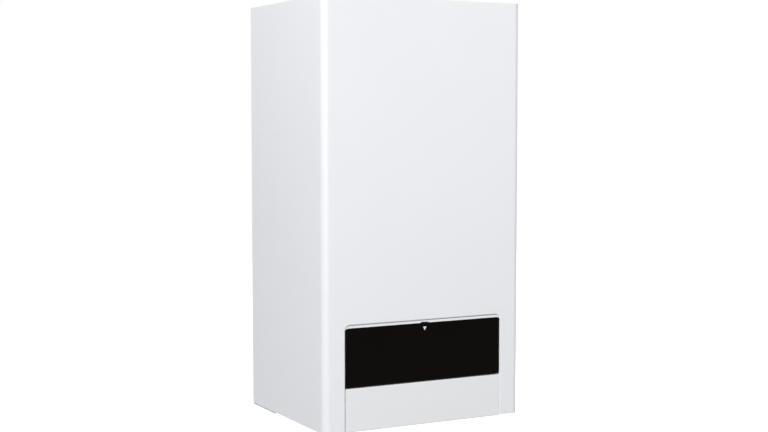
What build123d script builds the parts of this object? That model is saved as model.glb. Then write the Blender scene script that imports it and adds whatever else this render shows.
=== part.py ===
from build123d import *
import math
import os

# Wall-hung combi boiler with its casing on.  Millimetres.
# +X to the right as seen from the front, +Y towards the wall, +Z up.
# Heights are set out from the casing's bottom edge.  Each finished piece is then lowered, so that
# the origin lies on the wall plane, at mid width, on the line of the wall rail's two slots.

# ---------------------------------------------------------------- casing
WIDTH = 450.0               # overall width of the casing
DEPTH = 360.0               # wall to the casing's front face
HEIGHT = 850.0              # bottom edge to top edge of the casing
CASING_SHEET = 0.8          # powder-coated steel sheet
CASING_CORNER_R = 14.0      # rolled vertical front corners, outside
CASING_WALL_GAP = 2.0       # rear edge of the casing to the wall
TOP_LIP = 22.0              # flange folded in round the top
BOTTOM_LIP = 12.0           # flange folded in round the bottom
BOTTOM_LIP_STOP = 130.0     # the side lips end this far from the wall
REAR_HEM = 10.0             # width of the doubled rear edge
DOORWAY_WIDTH = 356.0       # opening for the control unit, clear width
DOORWAY_HEIGHT = 211.0      # clear height above the bottom edge
DOORWAY_CORNER_R = 10.0     # upper corners of the opening
DOORWAY_RETURN = 9.0        # depth of the edge folded inwards
DOORWAY_BEND_R = 3.0        # outside radius of that fold
CASING_SCREW_R = 2.0        # captive screw shank
CASING_SCREW_HEAD_R = 4.5
CASING_SCREW_HEAD = 3.0
CASING_SCREW_INSET = 9.0    # screw centre in from the outer side face
CASING_SCREW_FROM_FRONT = 38.0
SCREW_SLOT = 1.0            # width and depth of a screw's slot

# ---------------------------------------------------------------- chassis
CHASSIS_SHEET = 1.2         # galvanised steel
CHASSIS_CLEAR = 0.5         # chassis side to the casing's doubled edge
LID_CLEAR = 0.3             # top cover to the casing's top lip
BACK_STANDOFF = 16.0        # wall to the rear face of the back panel
BACK_LOW = 40.0             # lower edge of the back panel
BACK_TOP_DROP = 28.0        # back panel's top edge below the casing top
BACK_FLANGE = 12.0
UPRIGHT_DEPTH = 48.0
UPRIGHT_REAR_FLANGE = 26.0
UPRIGHT_FRONT_FLANGE = 16.0
FLOOR_LEVEL = 4.0           # underside of the bottom plate
FLOOR_SETBACK = 30.0        # casing's front to the bottom plate's front edge
FLOOR_FLANGE = 20.0
SKIRT_LENGTH = 70.0         # side skirt in front of each upright
SKIRT_DROP = 8.0
COVER_SETBACK = 15.0        # casing's front to the top cover's front edge
COVER_FLANGE = 20.0

BRACKET_SHEET = 2.0         # wall rail
BRACKET_SIDE_CLEAR = 6.9    # rail's end to the upright's flange
BRACKET_PLATE = 50.0
BRACKET_SHELF_DROP = 60.0   # shelf of the rail below the casing top
BRACKET_REACH = 14.0        # wall to the front face of the hook lip
BRACKET_LIP = 16.0
BRACKET_SLOT_SPACING = 300.0
BRACKET_SLOT_R = 4.5
BRACKET_SLOT_LENGTH = 20.0
BRACKET_SLOT_DROP = 28.0    # slots below the shelf
HOOK_WIDTH = 40.0
HOOK_SPACING = 240.0
HOOK_CLEAR = 0.3
HOOK_DROP = 12.0

# ---------------------------------------------------------------- flue
FLUE_FROM_WALL = 165.0
FLUE_GAS_R = 30.3           # bore for a 60 mm flue pipe
FLUE_AIR_R = 50.3           # bore for a 100 mm air pipe
FLUE_WALL = 2.5
COLLAR_FLANGE_R = 78.0
COLLAR_FLANGE = 3.0
COLLAR_RISE = 16.0          # collar top above the casing top
COLLAR_SPOKES = 3
COLLAR_SPOKE_WIDTH = 6.0
COLLAR_SPOKE_CLEAR = 0.1    # spoke ends to the socket they centre
SOCKET_DEPTH = 42.0         # foot of the flue pipe's socket below the top cover
RISER_R = 30.8
RISER_WALL = 2.5
SEAL_WIDTH = 4.0
SEAL_DEPTH = 1.6
SEAL_FROM_MOUTH = 8.0
TEST_PORT_R = 5.0
TEST_PORT_WALL = 1.5
TEST_PORT_OFFSET = 64.0
TEST_PORT_RISE = 8.0
COLLAR_SCREWS = 4
COLLAR_SCREW_R = 2.0
COLLAR_SCREW_HEAD_R = 4.0
COLLAR_SCREW_HEAD = 2.2
COLLAR_SCREW_TURN = 45.0    # first screw round the collar, in degrees

# ---------------------------------------------------------------- heat cell
VESSEL_WIDTH = 356.0
VESSEL_HEIGHT = 380.0
VESSEL_DEPTH = 76.0
VESSEL_WALL = 1.2
VESSEL_LOW = 330.0
VESSEL_CORNER_R = 45.0
VESSEL_EDGE_R = 12.0
VESSEL_SEAM = 5.0           # width of the crimped seam at mid depth
VESSEL_SEAM_OUT = 2.0
VESSEL_PORT_R = 8.0
CELL_BRACKET_CLEAR = 4.0    # between the vessel and the bracket's arms
CELL_BRACKET_LOW = 455.0
CELL_BRACKET_HIGH = 722.0
CELL_BRACKET_SPACE = 18.0   # vessel front to the bracket's plate
CELL_BRACKET_FOOT = 15.0
CELL_SCREW_FLAT = 8.0
CELL_SCREW_HEAD = 4.0
CELL_SCREW_END = 26.7       # screw centre in from the bracket's ends

CELL_X = -40.0              # heat cell axis
CELL_Z = 560.0
CELL_R = 126.0
CELL_SETBACK = 97.6         # casing's front to the face of the cell's flange
CELL_WALL = 2.0
CELL_FLANGE_R = 140.0
CELL_FLANGE = 4.0
CELL_PORT_R = 14.0
CELL_PORT_DROP = 30.0
CONDENSATE_PORT_R = 11.0
CONDENSATE_PORT_BACK = 40.0 # behind the face of the cell's flange
CONDENSATE_PORT_DROP = 24.0
COIL_OUTER_R = 118.0
COIL_INNER_R = 78.0
COIL_TURNS = 4
COIL_FRONT_ROOM = 38.0      # cell's length that the coil leaves free
COIL_GROOVE = 6.0
COIL_WALL = 1.0             # wall of the flattened tube
COIL_REAR_GAP = 0.3
DOOR_THICK = 8.0
DOOR_DOME_R = 62.0
DOOR_DOME_RISE = 40.0
DOOR_DOME_EDGE_R = 10.0
DOOR_RIB_REACH = 112.0
DOOR_RIB_WIDTH = 5.0
DOOR_RIB_RISE = 4.0
DOOR_ARM = 40.0             # height of the mixture channel
DOOR_ARM_DEPTH = 36.0
DOOR_ARM_EDGE_R = 6.0
NUT_CIRCLE_R = 132.0
NUT_COUNT = 6
NUT_TURN = 30.0             # first nut round the flange, in degrees
NUT_FLAT = 10.0
NUT_HEIGHT = 5.0
STUD_R = 3.0
STUD_OUT = 9.0
BURNER_R = 34.0
BURNER_WALL = 1.0
BURNER_REAR_ROOM = 50.0     # burner's end to the cell's rear
INSULATION_R = 74.0
INSULATION_THICK = 18.0
ELECTRODE_R = 2.0
ELECTRODE_LENGTH = 55.0
ELECTRODE_CERAMIC_R = 4.0
ELECTRODE_CERAMIC = 26.0
ELECTRODE_OFFSET = 50.0
ELECTRODE_SPACING = 14.0

# ---------------------------------------------------------------- fan and gas
FAN_SIDE_ROOM = 70.9        # fan's axis in from the chassis side
FAN_Z = 560.0
FAN_R = 54.0
FAN_DEPTH = 44.0
FAN_WALL = 3.0
FAN_SETBACK = 26.0          # casing's front to the front face of the scroll
FAN_OUTLET = 40.0
FAN_EYE_R = 20.0
FAN_WHEEL_R = 44.0
FAN_WHEEL_CLEAR = 3.0
FAN_BLADES = 9
FAN_BLADE_THICK = 1.5
FAN_BLADE_BOW = 5.0
FAN_DISC = 1.5
FAN_DISC_R = 45.0
FAN_HUB_R = 10.0
FAN_HUB = 12.0
FAN_SHAFT_R = 4.0
SHAFT_CLEAR = 0.06
SHAFT_ROOM = 1.0            # shaft to the hole in the scroll's wall
SHAFT_END_GAP = 1.0         # end of a shaft to the bottom of its bore
FAN_MOTOR_R = 34.0
FAN_MOTOR_DEPTH = 18.0
FAN_MOTOR_EDGE = 3.0
FAN_PLUG_WIDTH = 28.0
FAN_PLUG_DROP = 8.0
FAN_PLUG_SET = 4.0          # plug behind the motor's face and into its rim
MIXER_R = 26.0
MIXER_LENGTH = 42.0
MIXER_RIM = 8.0
MIXER_NECK_R = 22.0
MIXER_BOSS = 3.0            # boss beyond the gas pipe
AIR_DUCT_R = 26.0
AIR_DUCT_WALL = 2.0
AIR_DUCT_BEND = 32.0
AIR_DUCT_OUT = 40.0
AIR_DUCT_ROOM = 57.7        # duct's mouth below the top cover
GAS_VALVE_WIDTH = 58.0
GAS_VALVE_DEPTH = 72.0
GAS_VALVE_HEIGHT = 62.0
GAS_VALVE_LOW = 400.0
GAS_VALVE_EDGE_R = 5.0
GAS_TAP_R = 3.5
GAS_TAP_OUT = 8.0
GAS_TAP_LEVEL = 52.7        # above the valve's underside
GAS_OUTLET_RISE = 5.0
GAS_INLET_DROP = 10.0
BRANCH_COLLAR = 4.0         # a branch's wall beyond its pipe
GAS_COIL_R = 13.0
GAS_COIL_HEIGHT = 26.0
GAS_BRIDGE_R = 7.0
IGNITER_WIDTH = 48.0
IGNITER_HEIGHT = 50.0
IGNITER_DEPTH = 36.0
IGNITER_DROP = 4.0          # below the bracket's top edge
IGNITER_EDGE_R = 3.0
IGNITER_SPIGOT_R = 5.0
IGNITER_SPIGOT = 10.0

# ---------------------------------------------------------------- hydraulics
PIPE_FROM_WALL = 62.0
PIPE_SPACING = 70.0
PIPE_LARGE_R = 11.0         # 22 mm copper: flow, gas, return
PIPE_SMALL_R = 7.5          # 15 mm copper: hot, cold
PIPE_WALL = 1.0
PIPE_TAIL = 40.0            # pipe ends below the casing's bottom edge
PIPE_BEND = 34.0
PIPE_BEAD = 1.5             # rolled bead that stops a pipe under its grommet
PIPE_BEAD_WIDTH = 2.0
GROMMET_WALL = 4.0
GROMMET_HEIGHT = 6.0
GROMMET_BRIM = 3.0
NUT_LARGE_FLAT = 30.0
NUT_SMALL_FLAT = 24.0
UNION_HEIGHT = 14.0
UNION_LEVEL = 24.0
BLOCK_LOW = 60.0
BLOCK_HEIGHT = 50.0
BLOCK_DEPTH = 46.0
BLOCK_ARM_REACH = 148.0     # front of the block's forward arm from the wall
BLOCK_ARM_WIDTH = 44.0
BLOCK_INNER = 50.0          # inner end of each block from mid width
BLOCK_EDGE_R = 4.0
BRANCH_RISE = 12.0          # height of the branches on blocks and pump
RISER_FROM_WALL = 130.0
PLATE_PACK_WIDTH = 208.0
PLATE_PACK_HEIGHT = 76.0
PLATE_PACK_LOW = 48.0
PLATE_COUNT = 9
PLATE_PITCH = 5.0
PLATE_RIM = 2.5
PLATE_CORNER_R = 20.0
PUMP_X = 20.0
PUMP_Z = 192.0
PUMP_R = 45.0
PUMP_DEPTH = 50.0
PUMP_WALL = 5.0
PUMP_PORT_R = 16.0
PUMP_BRANCH = 3.0           # suction branch beyond the volute
PUMP_WHEEL_R = 33.0
PUMP_VANES = 6
PUMP_VANE_THICK = 2.0
PUMP_VANE_INSET = 1.0
PUMP_SHAFT_R = 5.0
PUMP_MOTOR_R = 42.0
PUMP_MOTOR_DEPTH = 80.0
PUMP_MOTOR_EDGE = 4.0
PUMP_CAP_R = 28.0
PUMP_CAP = 3.0
PUMP_BOX_WIDTH = 56.0
PUMP_BOX_HEIGHT = 30.0
PUMP_BOX_SINK = 6.0         # box's foot into the motor
PUMP_BOX_FRONT_GAP = 8.0
PUMP_BOX_REAR_GAP = 14.0
PUMP_BOX_EDGE_R = 4.0
DIVERTER_R = 20.0
DIVERTER_HEIGHT = 62.0
DIVERTER_CAP_OUT = 4.0
DIVERTER_CAP_LEVEL = 37.2
DIVERTER_CAP_EDGE_R = 5.0
VALVE_BODY_R = 14.0
VALVE_BODY_LENGTH = 34.0
VALVE_KNOB_R = 13.0
VALVE_KNOB_LENGTH = 16.0
VALVE_STEM_R = 3.0
VALVE_STEM = 22.0
VALVE_HEX_FLAT = 31.0
VALVE_HEX = 10.0
VALVE_OUTLET_R = 9.8
VALVE_OUTLET_FORWARD = 20.4
VALVE_OUTLET_DROP = 26.0
VALVE_KNOB_GAP = 0.5
VALVE_FLUTES = 6
VALVE_FLUTE_R = 4.0
VALVE_FLUTE_CIRCLE_R = 15.0
VENT_R = 13.0
VENT_HEIGHT = 44.0
VENT_CAP_R = 6.0
VENT_CAP = 9.0
VENT_EDGE = 3.0
TRAP_SIDE_ROOM = 44.9       # trap's axis in from the chassis side
TRAP_FROM_WALL = 222.0
TRAP_R = 30.0
TRAP_LOW = 30.0
TRAP_HEIGHT = 170.0
TRAP_EDGE_R = 6.0
TRAP_CAP = 16.0
TRAP_CAP_OUT = 4.0
TRAP_NECK = 10.0
TRAP_NECK_WALL = 3.0
TRAP_TAIL_R = 10.0
TRAP_TAIL_WALL = 2.0
HOSE_R = 11.0
HOSE_BEND = 42.0
GLAND_COUNT = 2
GLAND_PITCH = 34.0
GLAND_R = 9.0
GLAND_BORE_R = 4.0
GLAND_DROP = 12.0
GLAND_RIM = 1.5             # nut and dome beyond the sleeve
GLAND_NUT = 4.0
GLAND_EDGE = 3.0
GLAND_INSET = 26.0
GLAND_FROM_WALL = 112.0

# ---------------------------------------------------------------- control unit
UNIT_GAP = 1.0              # seam all round the control unit
UNIT_DROP = 1.0             # its front hangs this far below the casing
UNIT_WALL = 2.5
UNIT_EDGE_R = 2.0
UNIT_DEPTH = 22.0           # front face to the back of the front moulding
TILT_FROM_FRONT = 10.0
TILT_LEVEL = 8.0
TILT_PIN_R = 2.5
TILT_LUG_R = 4.5
TILT_LUG_THICK = 4.0
TILT_LUG_INSET = 31.0       # lug's middle in from the unit's side
TILT_HEAD_R = 3.5
TILT_EAR_THICK = 2.0
TILT_SIDE_CLEAR = 0.3
PIN_CLEAR = 0.06
FLAP_HEIGHT = 118.0
FLAP_LOW = 86.5
FLAP_THICK = 3.0
FLAP_BARREL_R = 4.0
FLAP_CORNER_R = 4.0
FLAP_CLEAR = 0.8            # flap's top edge to the lip above it
FLAP_PIN_R = 1.5
FLAP_PIN_LENGTH = 7.0
FLAP_EAR_R = 2.9
FLAP_EAR_THICK = 3.0
FLAP_EAR_CLEAR = 0.3
FLAP_EAR_INSET = 6.0        # outer end of the unit to the ear's far face
TAB_WIDTH = 15.0
TAB_RISE = 1.5
TAB_CLEAR = 1.5
TAB_EDGE = 1.35
CHEEK_ROOM = 1.8            # flap's rear face to the cheeks
PANEL_SEAM = 1.0            # lower panel's top edge to the flap
PANEL_RIB = 2.0
PANEL_RIB_SHARES = (-0.5, 0.0, 0.5)
FASCIA_THICK = 2.5
FASCIA_CLEAR = 0.3
HOUSING_DEPTH = 54.0
HOUSING_SIDE = 12.0         # housing side in from the unit's side
HOUSING_LOW = 90.0
HOUSING_HIGH = 196.0
HOUSING_WALL = 2.5
HOUSING_CORNER_R = 8.0
TONGUE_HEIGHT = 40.0
AIR_SLOTS = 6
AIR_SLOT_PITCH = 20.0
AIR_SLOT_WIDTH = 3.0
AIR_SLOT_HEIGHT = 40.0
BOARD_THICK = 1.6
BOARD_CLEAR = 1.0           # board's edge to the housing
BOARD_GAP = 12.0            # fascia's rear face to the board
POST_R = 3.5
POST_INSET = 10.5           # post's centre in from the housing's inner side
POST_LEVEL = 14.0           # post's centre in from the housing's floor and roof
TRANSFORMER_WIDTH = 44.0
TRANSFORMER_HEIGHT = 38.0
TRANSFORMER_DEPTH = 30.0
TRANSFORMER_INSET = 41.5
TRANSFORMER_RISE = 30.0
RELAY_COUNT = 4
RELAY_PITCH = 24.0
RELAY_WIDTH = 16.0
RELAY_HEIGHT = 20.0
RELAY_DEPTH = 15.0
RELAY_DROP = 14.0
RELAY_ROW_X = 4.0
TERMINAL_WIDTH = 68.0
TERMINAL_HEIGHT = 16.0
TERMINAL_DEPTH = 12.0
TERMINAL_INSET = 23.5
TERMINAL_RISE = 8.0
LAYOUT_HALF = 177.0         # half of the unit's width that the places below are set out on
CONTROL_LEVEL = 146.0       # height of the dial centres
GAUGE_PLACE = -136.0
GAUGE_R = 19.8
GAUGE_BEZEL_R = 22.0
GAUGE_BEZEL = 2.0
GAUGE_DEPTH = 10.0
GAUGE_GLASS = 1.0
GAUGE_WALL = 1.5
GAUGE_ZERO = -135.0         # needle's turn at the zero of the scale, in degrees
GAUGE_FACE_DEPTH = 5.5
NEEDLE_LENGTH = 15.0
NEEDLE_WIDTH = 1.8
NEEDLE_THICK = 0.6
NEEDLE_HUB_R = 2.4
NEEDLE_TAIL = 4.0
NEEDLE_GAP = 1.0            # needle to the face and spindle to the glass
SPINDLE_R = 0.75
SPINDLE_CLEAR = 0.05
DIAL_R = 19.0
DIAL_HEIGHT = 11.0
DIAL_GRIP_WIDTH = 7.0
DIAL_SHAFT_R = 3.0
DIAL_FIRST_PLACE = -84.0
DIAL_PITCH = 52.0
DIAL_GAP = 0.5
DIAL_MARK = 1.2
DIAL_MARK_DEPTH = 0.6
DIAL_EDGE = 1.2
DIAL_GRIP_INSET = 2.0
DIAL_GRIP_EDGE_R = 2.0
DISPLAY_PLACE = 46.0
DISPLAY_WIDTH = 66.0
DISPLAY_HEIGHT = 34.0
DISPLAY_RAISE = 10.0
DISPLAY_GLASS = 1.6
DISPLAY_MODULE = 6.0
BUTTON_WIDTH = 11.0
BUTTON_HEIGHT = 7.0
BUTTON_LEVEL = 118.0
BUTTON_PROUD = 2.0
BUTTON_TRAVEL = 1.2
BUTTON_CLEAR = 0.2
BUTTON_LIP = 1.2
BUTTON_LIP_THICK = 1.0
BUTTON_REST = 0.5           # stem to the board beyond its travel
BUTTON_STEM = 4.0
BUTTON_EDGE_R = 0.8
RESET_PLACE = 98.0
RESET_R = 6.5
RESET_EDGE = 0.6
SWITCH_PLACE = 136.0
SWITCH_WIDTH = 20.0
SWITCH_HEIGHT = 30.0
SWITCH_BEZEL = 2.5
SWITCH_BEZEL_THICK = 1.5
SWITCH_DEPTH = 9.0          # switch box behind the fascia
SWITCH_WALL = 1.5
ROCKER_CLEAR = 0.4
ROCKER_TILT = 8.0           # half of the rocker's swing, in degrees
ROCKER_THICK = 5.0
ROCKER_AXLE_R = 1.5
ROCKER_DISH_R = 60.0
ROCKER_DISH = 2.0           # depth of the dished face
CATCH_WIDTH = 18.0
CATCH_HEIGHT = 5.0
CATCH_EDGE = 1.0

# ---------------------------------------------------------------- derived
FRONT = -DEPTH
CHASSIS_HALF = WIDTH / 2 - 2 * CASING_SHEET - CHASSIS_CLEAR
CHASSIS_INNER = CHASSIS_HALF - CHASSIS_SHEET
BRACKET_HALF = CHASSIS_HALF - UPRIGHT_REAR_FLANGE - BRACKET_SIDE_CLEAR
FLOOR_FRONT = FRONT + FLOOR_SETBACK
COVER_FRONT = FRONT + COVER_SETBACK
COVER_TOP = HEIGHT - CASING_SHEET - LID_CLEAR
COVER_UNDER = COVER_TOP - CHASSIS_SHEET
FLOOR_TOP = FLOOR_LEVEL + CHASSIS_SHEET
BACK_FRONT = -BACK_STANDOFF - CHASSIS_SHEET
SHELF_TOP = HEIGHT - BRACKET_SHELF_DROP
SLOT_LEVEL = SHELF_TOP - BRACKET_SLOT_DROP
COLLAR_TOP = HEIGHT + COLLAR_RISE
SOCKET_FOOT = COVER_TOP - SOCKET_DEPTH
SOCKET_R = FLUE_GAS_R + FLUE_WALL
VESSEL_FRONT = BACK_FRONT - VESSEL_DEPTH
CELL_REAR = VESSEL_FRONT - CELL_BRACKET_SPACE - CHASSIS_SHEET
CELL_FRONT = FRONT + CELL_SETBACK
CELL_LENGTH = CELL_REAR - CELL_FRONT
COIL_TURN_PITCH = (CELL_LENGTH - COIL_FRONT_ROOM) / COIL_TURNS
BURNER_LENGTH = CELL_LENGTH - BURNER_REAR_ROOM
CONDENSATE_PORT_Y = CELL_FRONT + CONDENSATE_PORT_BACK
DOOR_FRONT = CELL_FRONT - DOOR_THICK
FAN_X = CHASSIS_HALF - FAN_SIDE_ROOM
FAN_FRONT = FRONT + FAN_SETBACK
FAN_REAR = FAN_FRONT + FAN_DEPTH
MIXER_REAR = FAN_REAR + MIXER_LENGTH
AIR_DUCT_TOP = COVER_UNDER - AIR_DUCT_ROOM
GAS_LINE_Y = (FAN_REAR + MIXER_REAR) / 2
GAS_VALVE_TOP = GAS_VALVE_LOW + GAS_VALVE_HEIGHT
UNIT_HALF = DOORWAY_WIDTH / 2 - UNIT_GAP
UNIT_TOP = DOORWAY_HEIGHT - UNIT_GAP
TILT_LUG_X = UNIT_HALF - TILT_LUG_INSET
LAYOUT_SCALE = UNIT_HALF / LAYOUT_HALF
GAUGE_X = GAUGE_PLACE * LAYOUT_SCALE
DISPLAY_X = DISPLAY_PLACE * LAYOUT_SCALE
RESET_X = RESET_PLACE * LAYOUT_SCALE
SWITCH_X = SWITCH_PLACE * LAYOUT_SCALE
UNIT_BACK = FRONT + UNIT_DEPTH
TILT_Y = FRONT + TILT_FROM_FRONT
FLAP_TOP = FLAP_LOW + FLAP_HEIGHT
FLAP_AXIS_Y = FRONT + FLAP_BARREL_R
FLAP_AXIS_Z = FLAP_LOW + FLAP_BARREL_R
PANEL_TOP = FLAP_LOW - PANEL_SEAM
LIP_LOW = FLAP_TOP + FLAP_CLEAR
FASCIA_FRONT = UNIT_BACK - FASCIA_THICK
BOARD_FRONT = UNIT_BACK + BOARD_GAP
PIPE_Y = -PIPE_FROM_WALL
RISER_Y = -RISER_FROM_WALL
BLOCK_TOP = BLOCK_LOW + BLOCK_HEIGHT
BLOCK_FRONT = PIPE_Y - BLOCK_DEPTH / 2
FLOW_X = -2 * PIPE_SPACING
HOT_X = -PIPE_SPACING
COLD_X = PIPE_SPACING
RETURN_X = 2 * PIPE_SPACING
TRAP_X = TRAP_SIDE_ROOM - CHASSIS_HALF
TRAP_TOP = TRAP_LOW + TRAP_HEIGHT

LOW = Align.MIN
MID = Align.CENTER


# ---------------------------------------------------------------- shapes
def block(x, y, z):
    """Box from the low to the high value of each pair."""
    size = Box(x[1] - x[0], y[1] - y[0], z[1] - z[0], align=(LOW, LOW, LOW))
    return Pos(x[0], y[0], z[0]) * size


def rod(radius, start, end):
    """Round bar from one point to another."""
    run = Vector(*end) - Vector(*start)
    bar = Cylinder(radius, run.length, align=(MID, MID, LOW))
    return Plane(origin=start, z_dir=run) * bar


def tube(radius, wall, start, end):
    """Round tube from one point to another."""
    return rod(radius, start, end) - rod(radius - wall, start, end)


def hexagon(flat, start, end):
    """Hexagonal bar, measured across its flats."""
    run = Vector(*end) - Vector(*start)
    outline = Plane(origin=start, z_dir=run) * RegularPolygon(flat / 2, 6, major_radius=False)
    return extrude(outline, run.length, dir=run)


def upright_edges(body):
    """Edges that run parallel to the height."""
    return body.edges().filter_by(Axis.Z)


def bent_pipe(points, radius, bend):
    """Round bar along straight runs joined by tangent bends."""
    path = FilletPolyline(*points, radius=bend)
    start = Plane(origin=points[0], z_dir=Vector(*points[1]) - Vector(*points[0]))
    return sweep(start * Circle(radius), path)


def around(count, radius, first=0.0):
    """Evenly spaced points on a circle, as pairs."""
    step = 2 * math.pi / count
    turns = [math.radians(first) + step * index for index in range(count)]
    return [(radius * math.cos(turn), radius * math.sin(turn)) for turn in turns]


def mirrored(body):
    """The other hand of a piece."""
    return mirror(body, about=Plane.YZ)


def both_sides(body):
    """A piece together with its other hand."""
    return body + mirrored(body)


# ---------------------------------------------------------------- front casing
def casing_block(inset, low, high, rear):
    """The casing's outline drawn in by an inset and raised to a block."""
    half = WIDTH / 2 - inset
    body = block((-half, half), (FRONT + inset, rear), (low, high))
    corner = max(CASING_CORNER_R - inset, CASING_SHEET)
    return fillet(upright_edges(body).group_by(Axis.Y)[0], corner)


def doorway_block(grow, near, far, floor):
    """The outline of the control unit's opening, grown all round."""
    half = DOORWAY_WIDTH / 2 + grow
    body = block((-half, half), (near, far), (floor, DOORWAY_HEIGHT + grow))
    top = body.edges().filter_by(Axis.Y).group_by(Axis.Z)[-1]
    return fillet(top, DOORWAY_CORNER_R + grow)


def doorway_fold():
    """Edge of the opening, folded inwards with a round bend."""
    edge = DOORWAY_WIDTH / 2
    centre = Pos(edge + DOORWAY_BEND_R, FRONT + DOORWAY_BEND_R)
    ring = centre * (Circle(DOORWAY_BEND_R) - Circle(DOORWAY_BEND_R - CASING_SHEET))
    quarter = Pos(edge, FRONT) * Rectangle(DOORWAY_BEND_R, DOORWAY_BEND_R, align=(LOW, LOW))
    leg_length = DOORWAY_RETURN - DOORWAY_BEND_R
    leg = Rectangle(CASING_SHEET, leg_length, align=(LOW, LOW))
    section = (ring & quarter) + Pos(edge, FRONT + DOORWAY_BEND_R) * leg
    corners = [(edge, 0), (edge, DOORWAY_HEIGHT), (-edge, DOORWAY_HEIGHT), (-edge, 0)]
    path = FilletPolyline(*[(x, FRONT, z) for x, z in corners], radius=DOORWAY_CORNER_R)
    return sweep(section, path)


def casing_screw_places():
    """Where the two captive screws pass through the bottom lip."""
    reach = WIDTH / 2 - CASING_SCREW_INSET
    return [(side * reach, FRONT + CASING_SCREW_FROM_FRONT) for side in (-1, 1)]


def front_casing():
    """Front and both sides in one wrapped sheet, with its folds."""
    rear = -CASING_WALL_GAP
    body = casing_block(0, 0, HEIGHT, rear)
    body -= casing_block(CASING_SHEET, CASING_SHEET, HEIGHT - CASING_SHEET, 0)
    body -= casing_block(TOP_LIP, HEIGHT / 2, HEIGHT + CASING_SHEET, 0)
    body -= casing_block(BOTTOM_LIP, -CASING_SHEET, HEIGHT / 2, 0)
    inner = WIDTH / 2 - CASING_SHEET
    body -= block((-inner, inner), (-BOTTOM_LIP_STOP, 0), (-CASING_SHEET, 2 * CASING_SHEET))
    hem = block((inner - CASING_SHEET, inner), (rear - REAR_HEM, rear),
                (CASING_SHEET, HEIGHT - CASING_SHEET))
    body += both_sides(hem)
    body -= doorway_block(DOORWAY_BEND_R, FRONT - CASING_SHEET, FRONT + CASING_SHEET, -CASING_SHEET)
    gap = DOORWAY_WIDTH / 2 + DOORWAY_BEND_R
    body -= block((-gap, gap), (FRONT, FRONT + 2 * BOTTOM_LIP), (-CASING_SHEET, 2 * CASING_SHEET))
    body += doorway_fold()
    for x, y in casing_screw_places():
        body -= rod(CASING_SCREW_R, (x, y, -CASING_SHEET), (x, y, 2 * CASING_SHEET))
    return body


def casing_screws():
    """Captive screws under the casing, one each side."""
    tip = FLOOR_TOP + CASING_SCREW_HEAD
    screws = []
    for x, y in casing_screw_places():
        head = rod(CASING_SCREW_HEAD_R, (x, y, -CASING_SCREW_HEAD), (x, y, 0))
        slot = block((x - CASING_SCREW_HEAD_R, x + CASING_SCREW_HEAD_R),
                     (y - SCREW_SLOT / 2, y + SCREW_SLOT / 2),
                     (-CASING_SCREW_HEAD, SCREW_SLOT - CASING_SCREW_HEAD))
        screws.append(head - slot + rod(CASING_SCREW_R, (x, y, 0), (x, y, tip)))
    return Compound(children=screws)


# ---------------------------------------------------------------- chassis
def wall_bracket():
    """Wall rail with a hook lip and two slotted fixing holes."""
    half = BRACKET_HALF
    low = SHELF_TOP - BRACKET_PLATE
    plate = block((-half, half), (-BRACKET_SHEET, 0), (low, SHELF_TOP))
    shelf = block((-half, half), (-BRACKET_REACH, 0), (SHELF_TOP - BRACKET_SHEET, SHELF_TOP))
    lip = block((-half, half), (-BRACKET_REACH, -BRACKET_REACH + BRACKET_SHEET),
                (SHELF_TOP - BRACKET_SHEET, SHELF_TOP + BRACKET_LIP))
    slot_plane = Plane(origin=(0, 0, SLOT_LEVEL), x_dir=(1, 0, 0), z_dir=(0, -1, 0))
    slot = slot_plane * SlotOverall(BRACKET_SLOT_LENGTH, 2 * BRACKET_SLOT_R)
    body = plate + shelf + lip
    for side in (-1, 1):
        moved = Pos(side * BRACKET_SLOT_SPACING / 2, 0, 0) * slot
        body -= extrude(moved, 2 * BRACKET_SHEET, both=True)
    return body


def back_panel():
    """Pan that carries the inner parts, hooked over the wall rail."""
    high = HEIGHT - BACK_TOP_DROP
    rear = -BACK_STANDOFF
    body = block((-CHASSIS_INNER, CHASSIS_INNER), (BACK_FRONT, rear), (BACK_LOW, high))
    flange = block((CHASSIS_INNER - CHASSIS_SHEET, CHASSIS_INNER),
                   (rear - BACK_FLANGE, rear), (BACK_LOW, high))
    body += both_sides(flange)
    hook_face = -BRACKET_REACH + BRACKET_SHEET + HOOK_CLEAR
    seat = SHELF_TOP + BRACKET_LIP
    for side in (-1, 1):
        middle = side * HOOK_SPACING / 2
        span = (middle - HOOK_WIDTH / 2, middle + HOOK_WIDTH / 2)
        tongue = block(span, (rear, hook_face + CHASSIS_SHEET), (seat, seat + CHASSIS_SHEET))
        drop = block(span, (hook_face, hook_face + CHASSIS_SHEET), (seat - HOOK_DROP, seat))
        body += tongue + drop
    return body


def right_upright():
    """Channel at the side of the back panel, its rear flange on the wall."""
    inner = CHASSIS_HALF - CHASSIS_SHEET
    span = (FLOOR_LEVEL - SKIRT_DROP, COVER_UNDER)
    web = block((inner, CHASSIS_HALF), (-UPRIGHT_DEPTH, 0), span)
    rear = block((CHASSIS_HALF - UPRIGHT_REAR_FLANGE, CHASSIS_HALF), (-CHASSIS_SHEET, 0), span)
    raised = (FLOOR_TOP + FLOOR_FLANGE, COVER_UNDER - COVER_FLANGE)
    front = block((CHASSIS_HALF - UPRIGHT_FRONT_FLANGE, CHASSIS_HALF),
                  (-UPRIGHT_DEPTH, -UPRIGHT_DEPTH + CHASSIS_SHEET), raised)
    return web + rear + front


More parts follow.
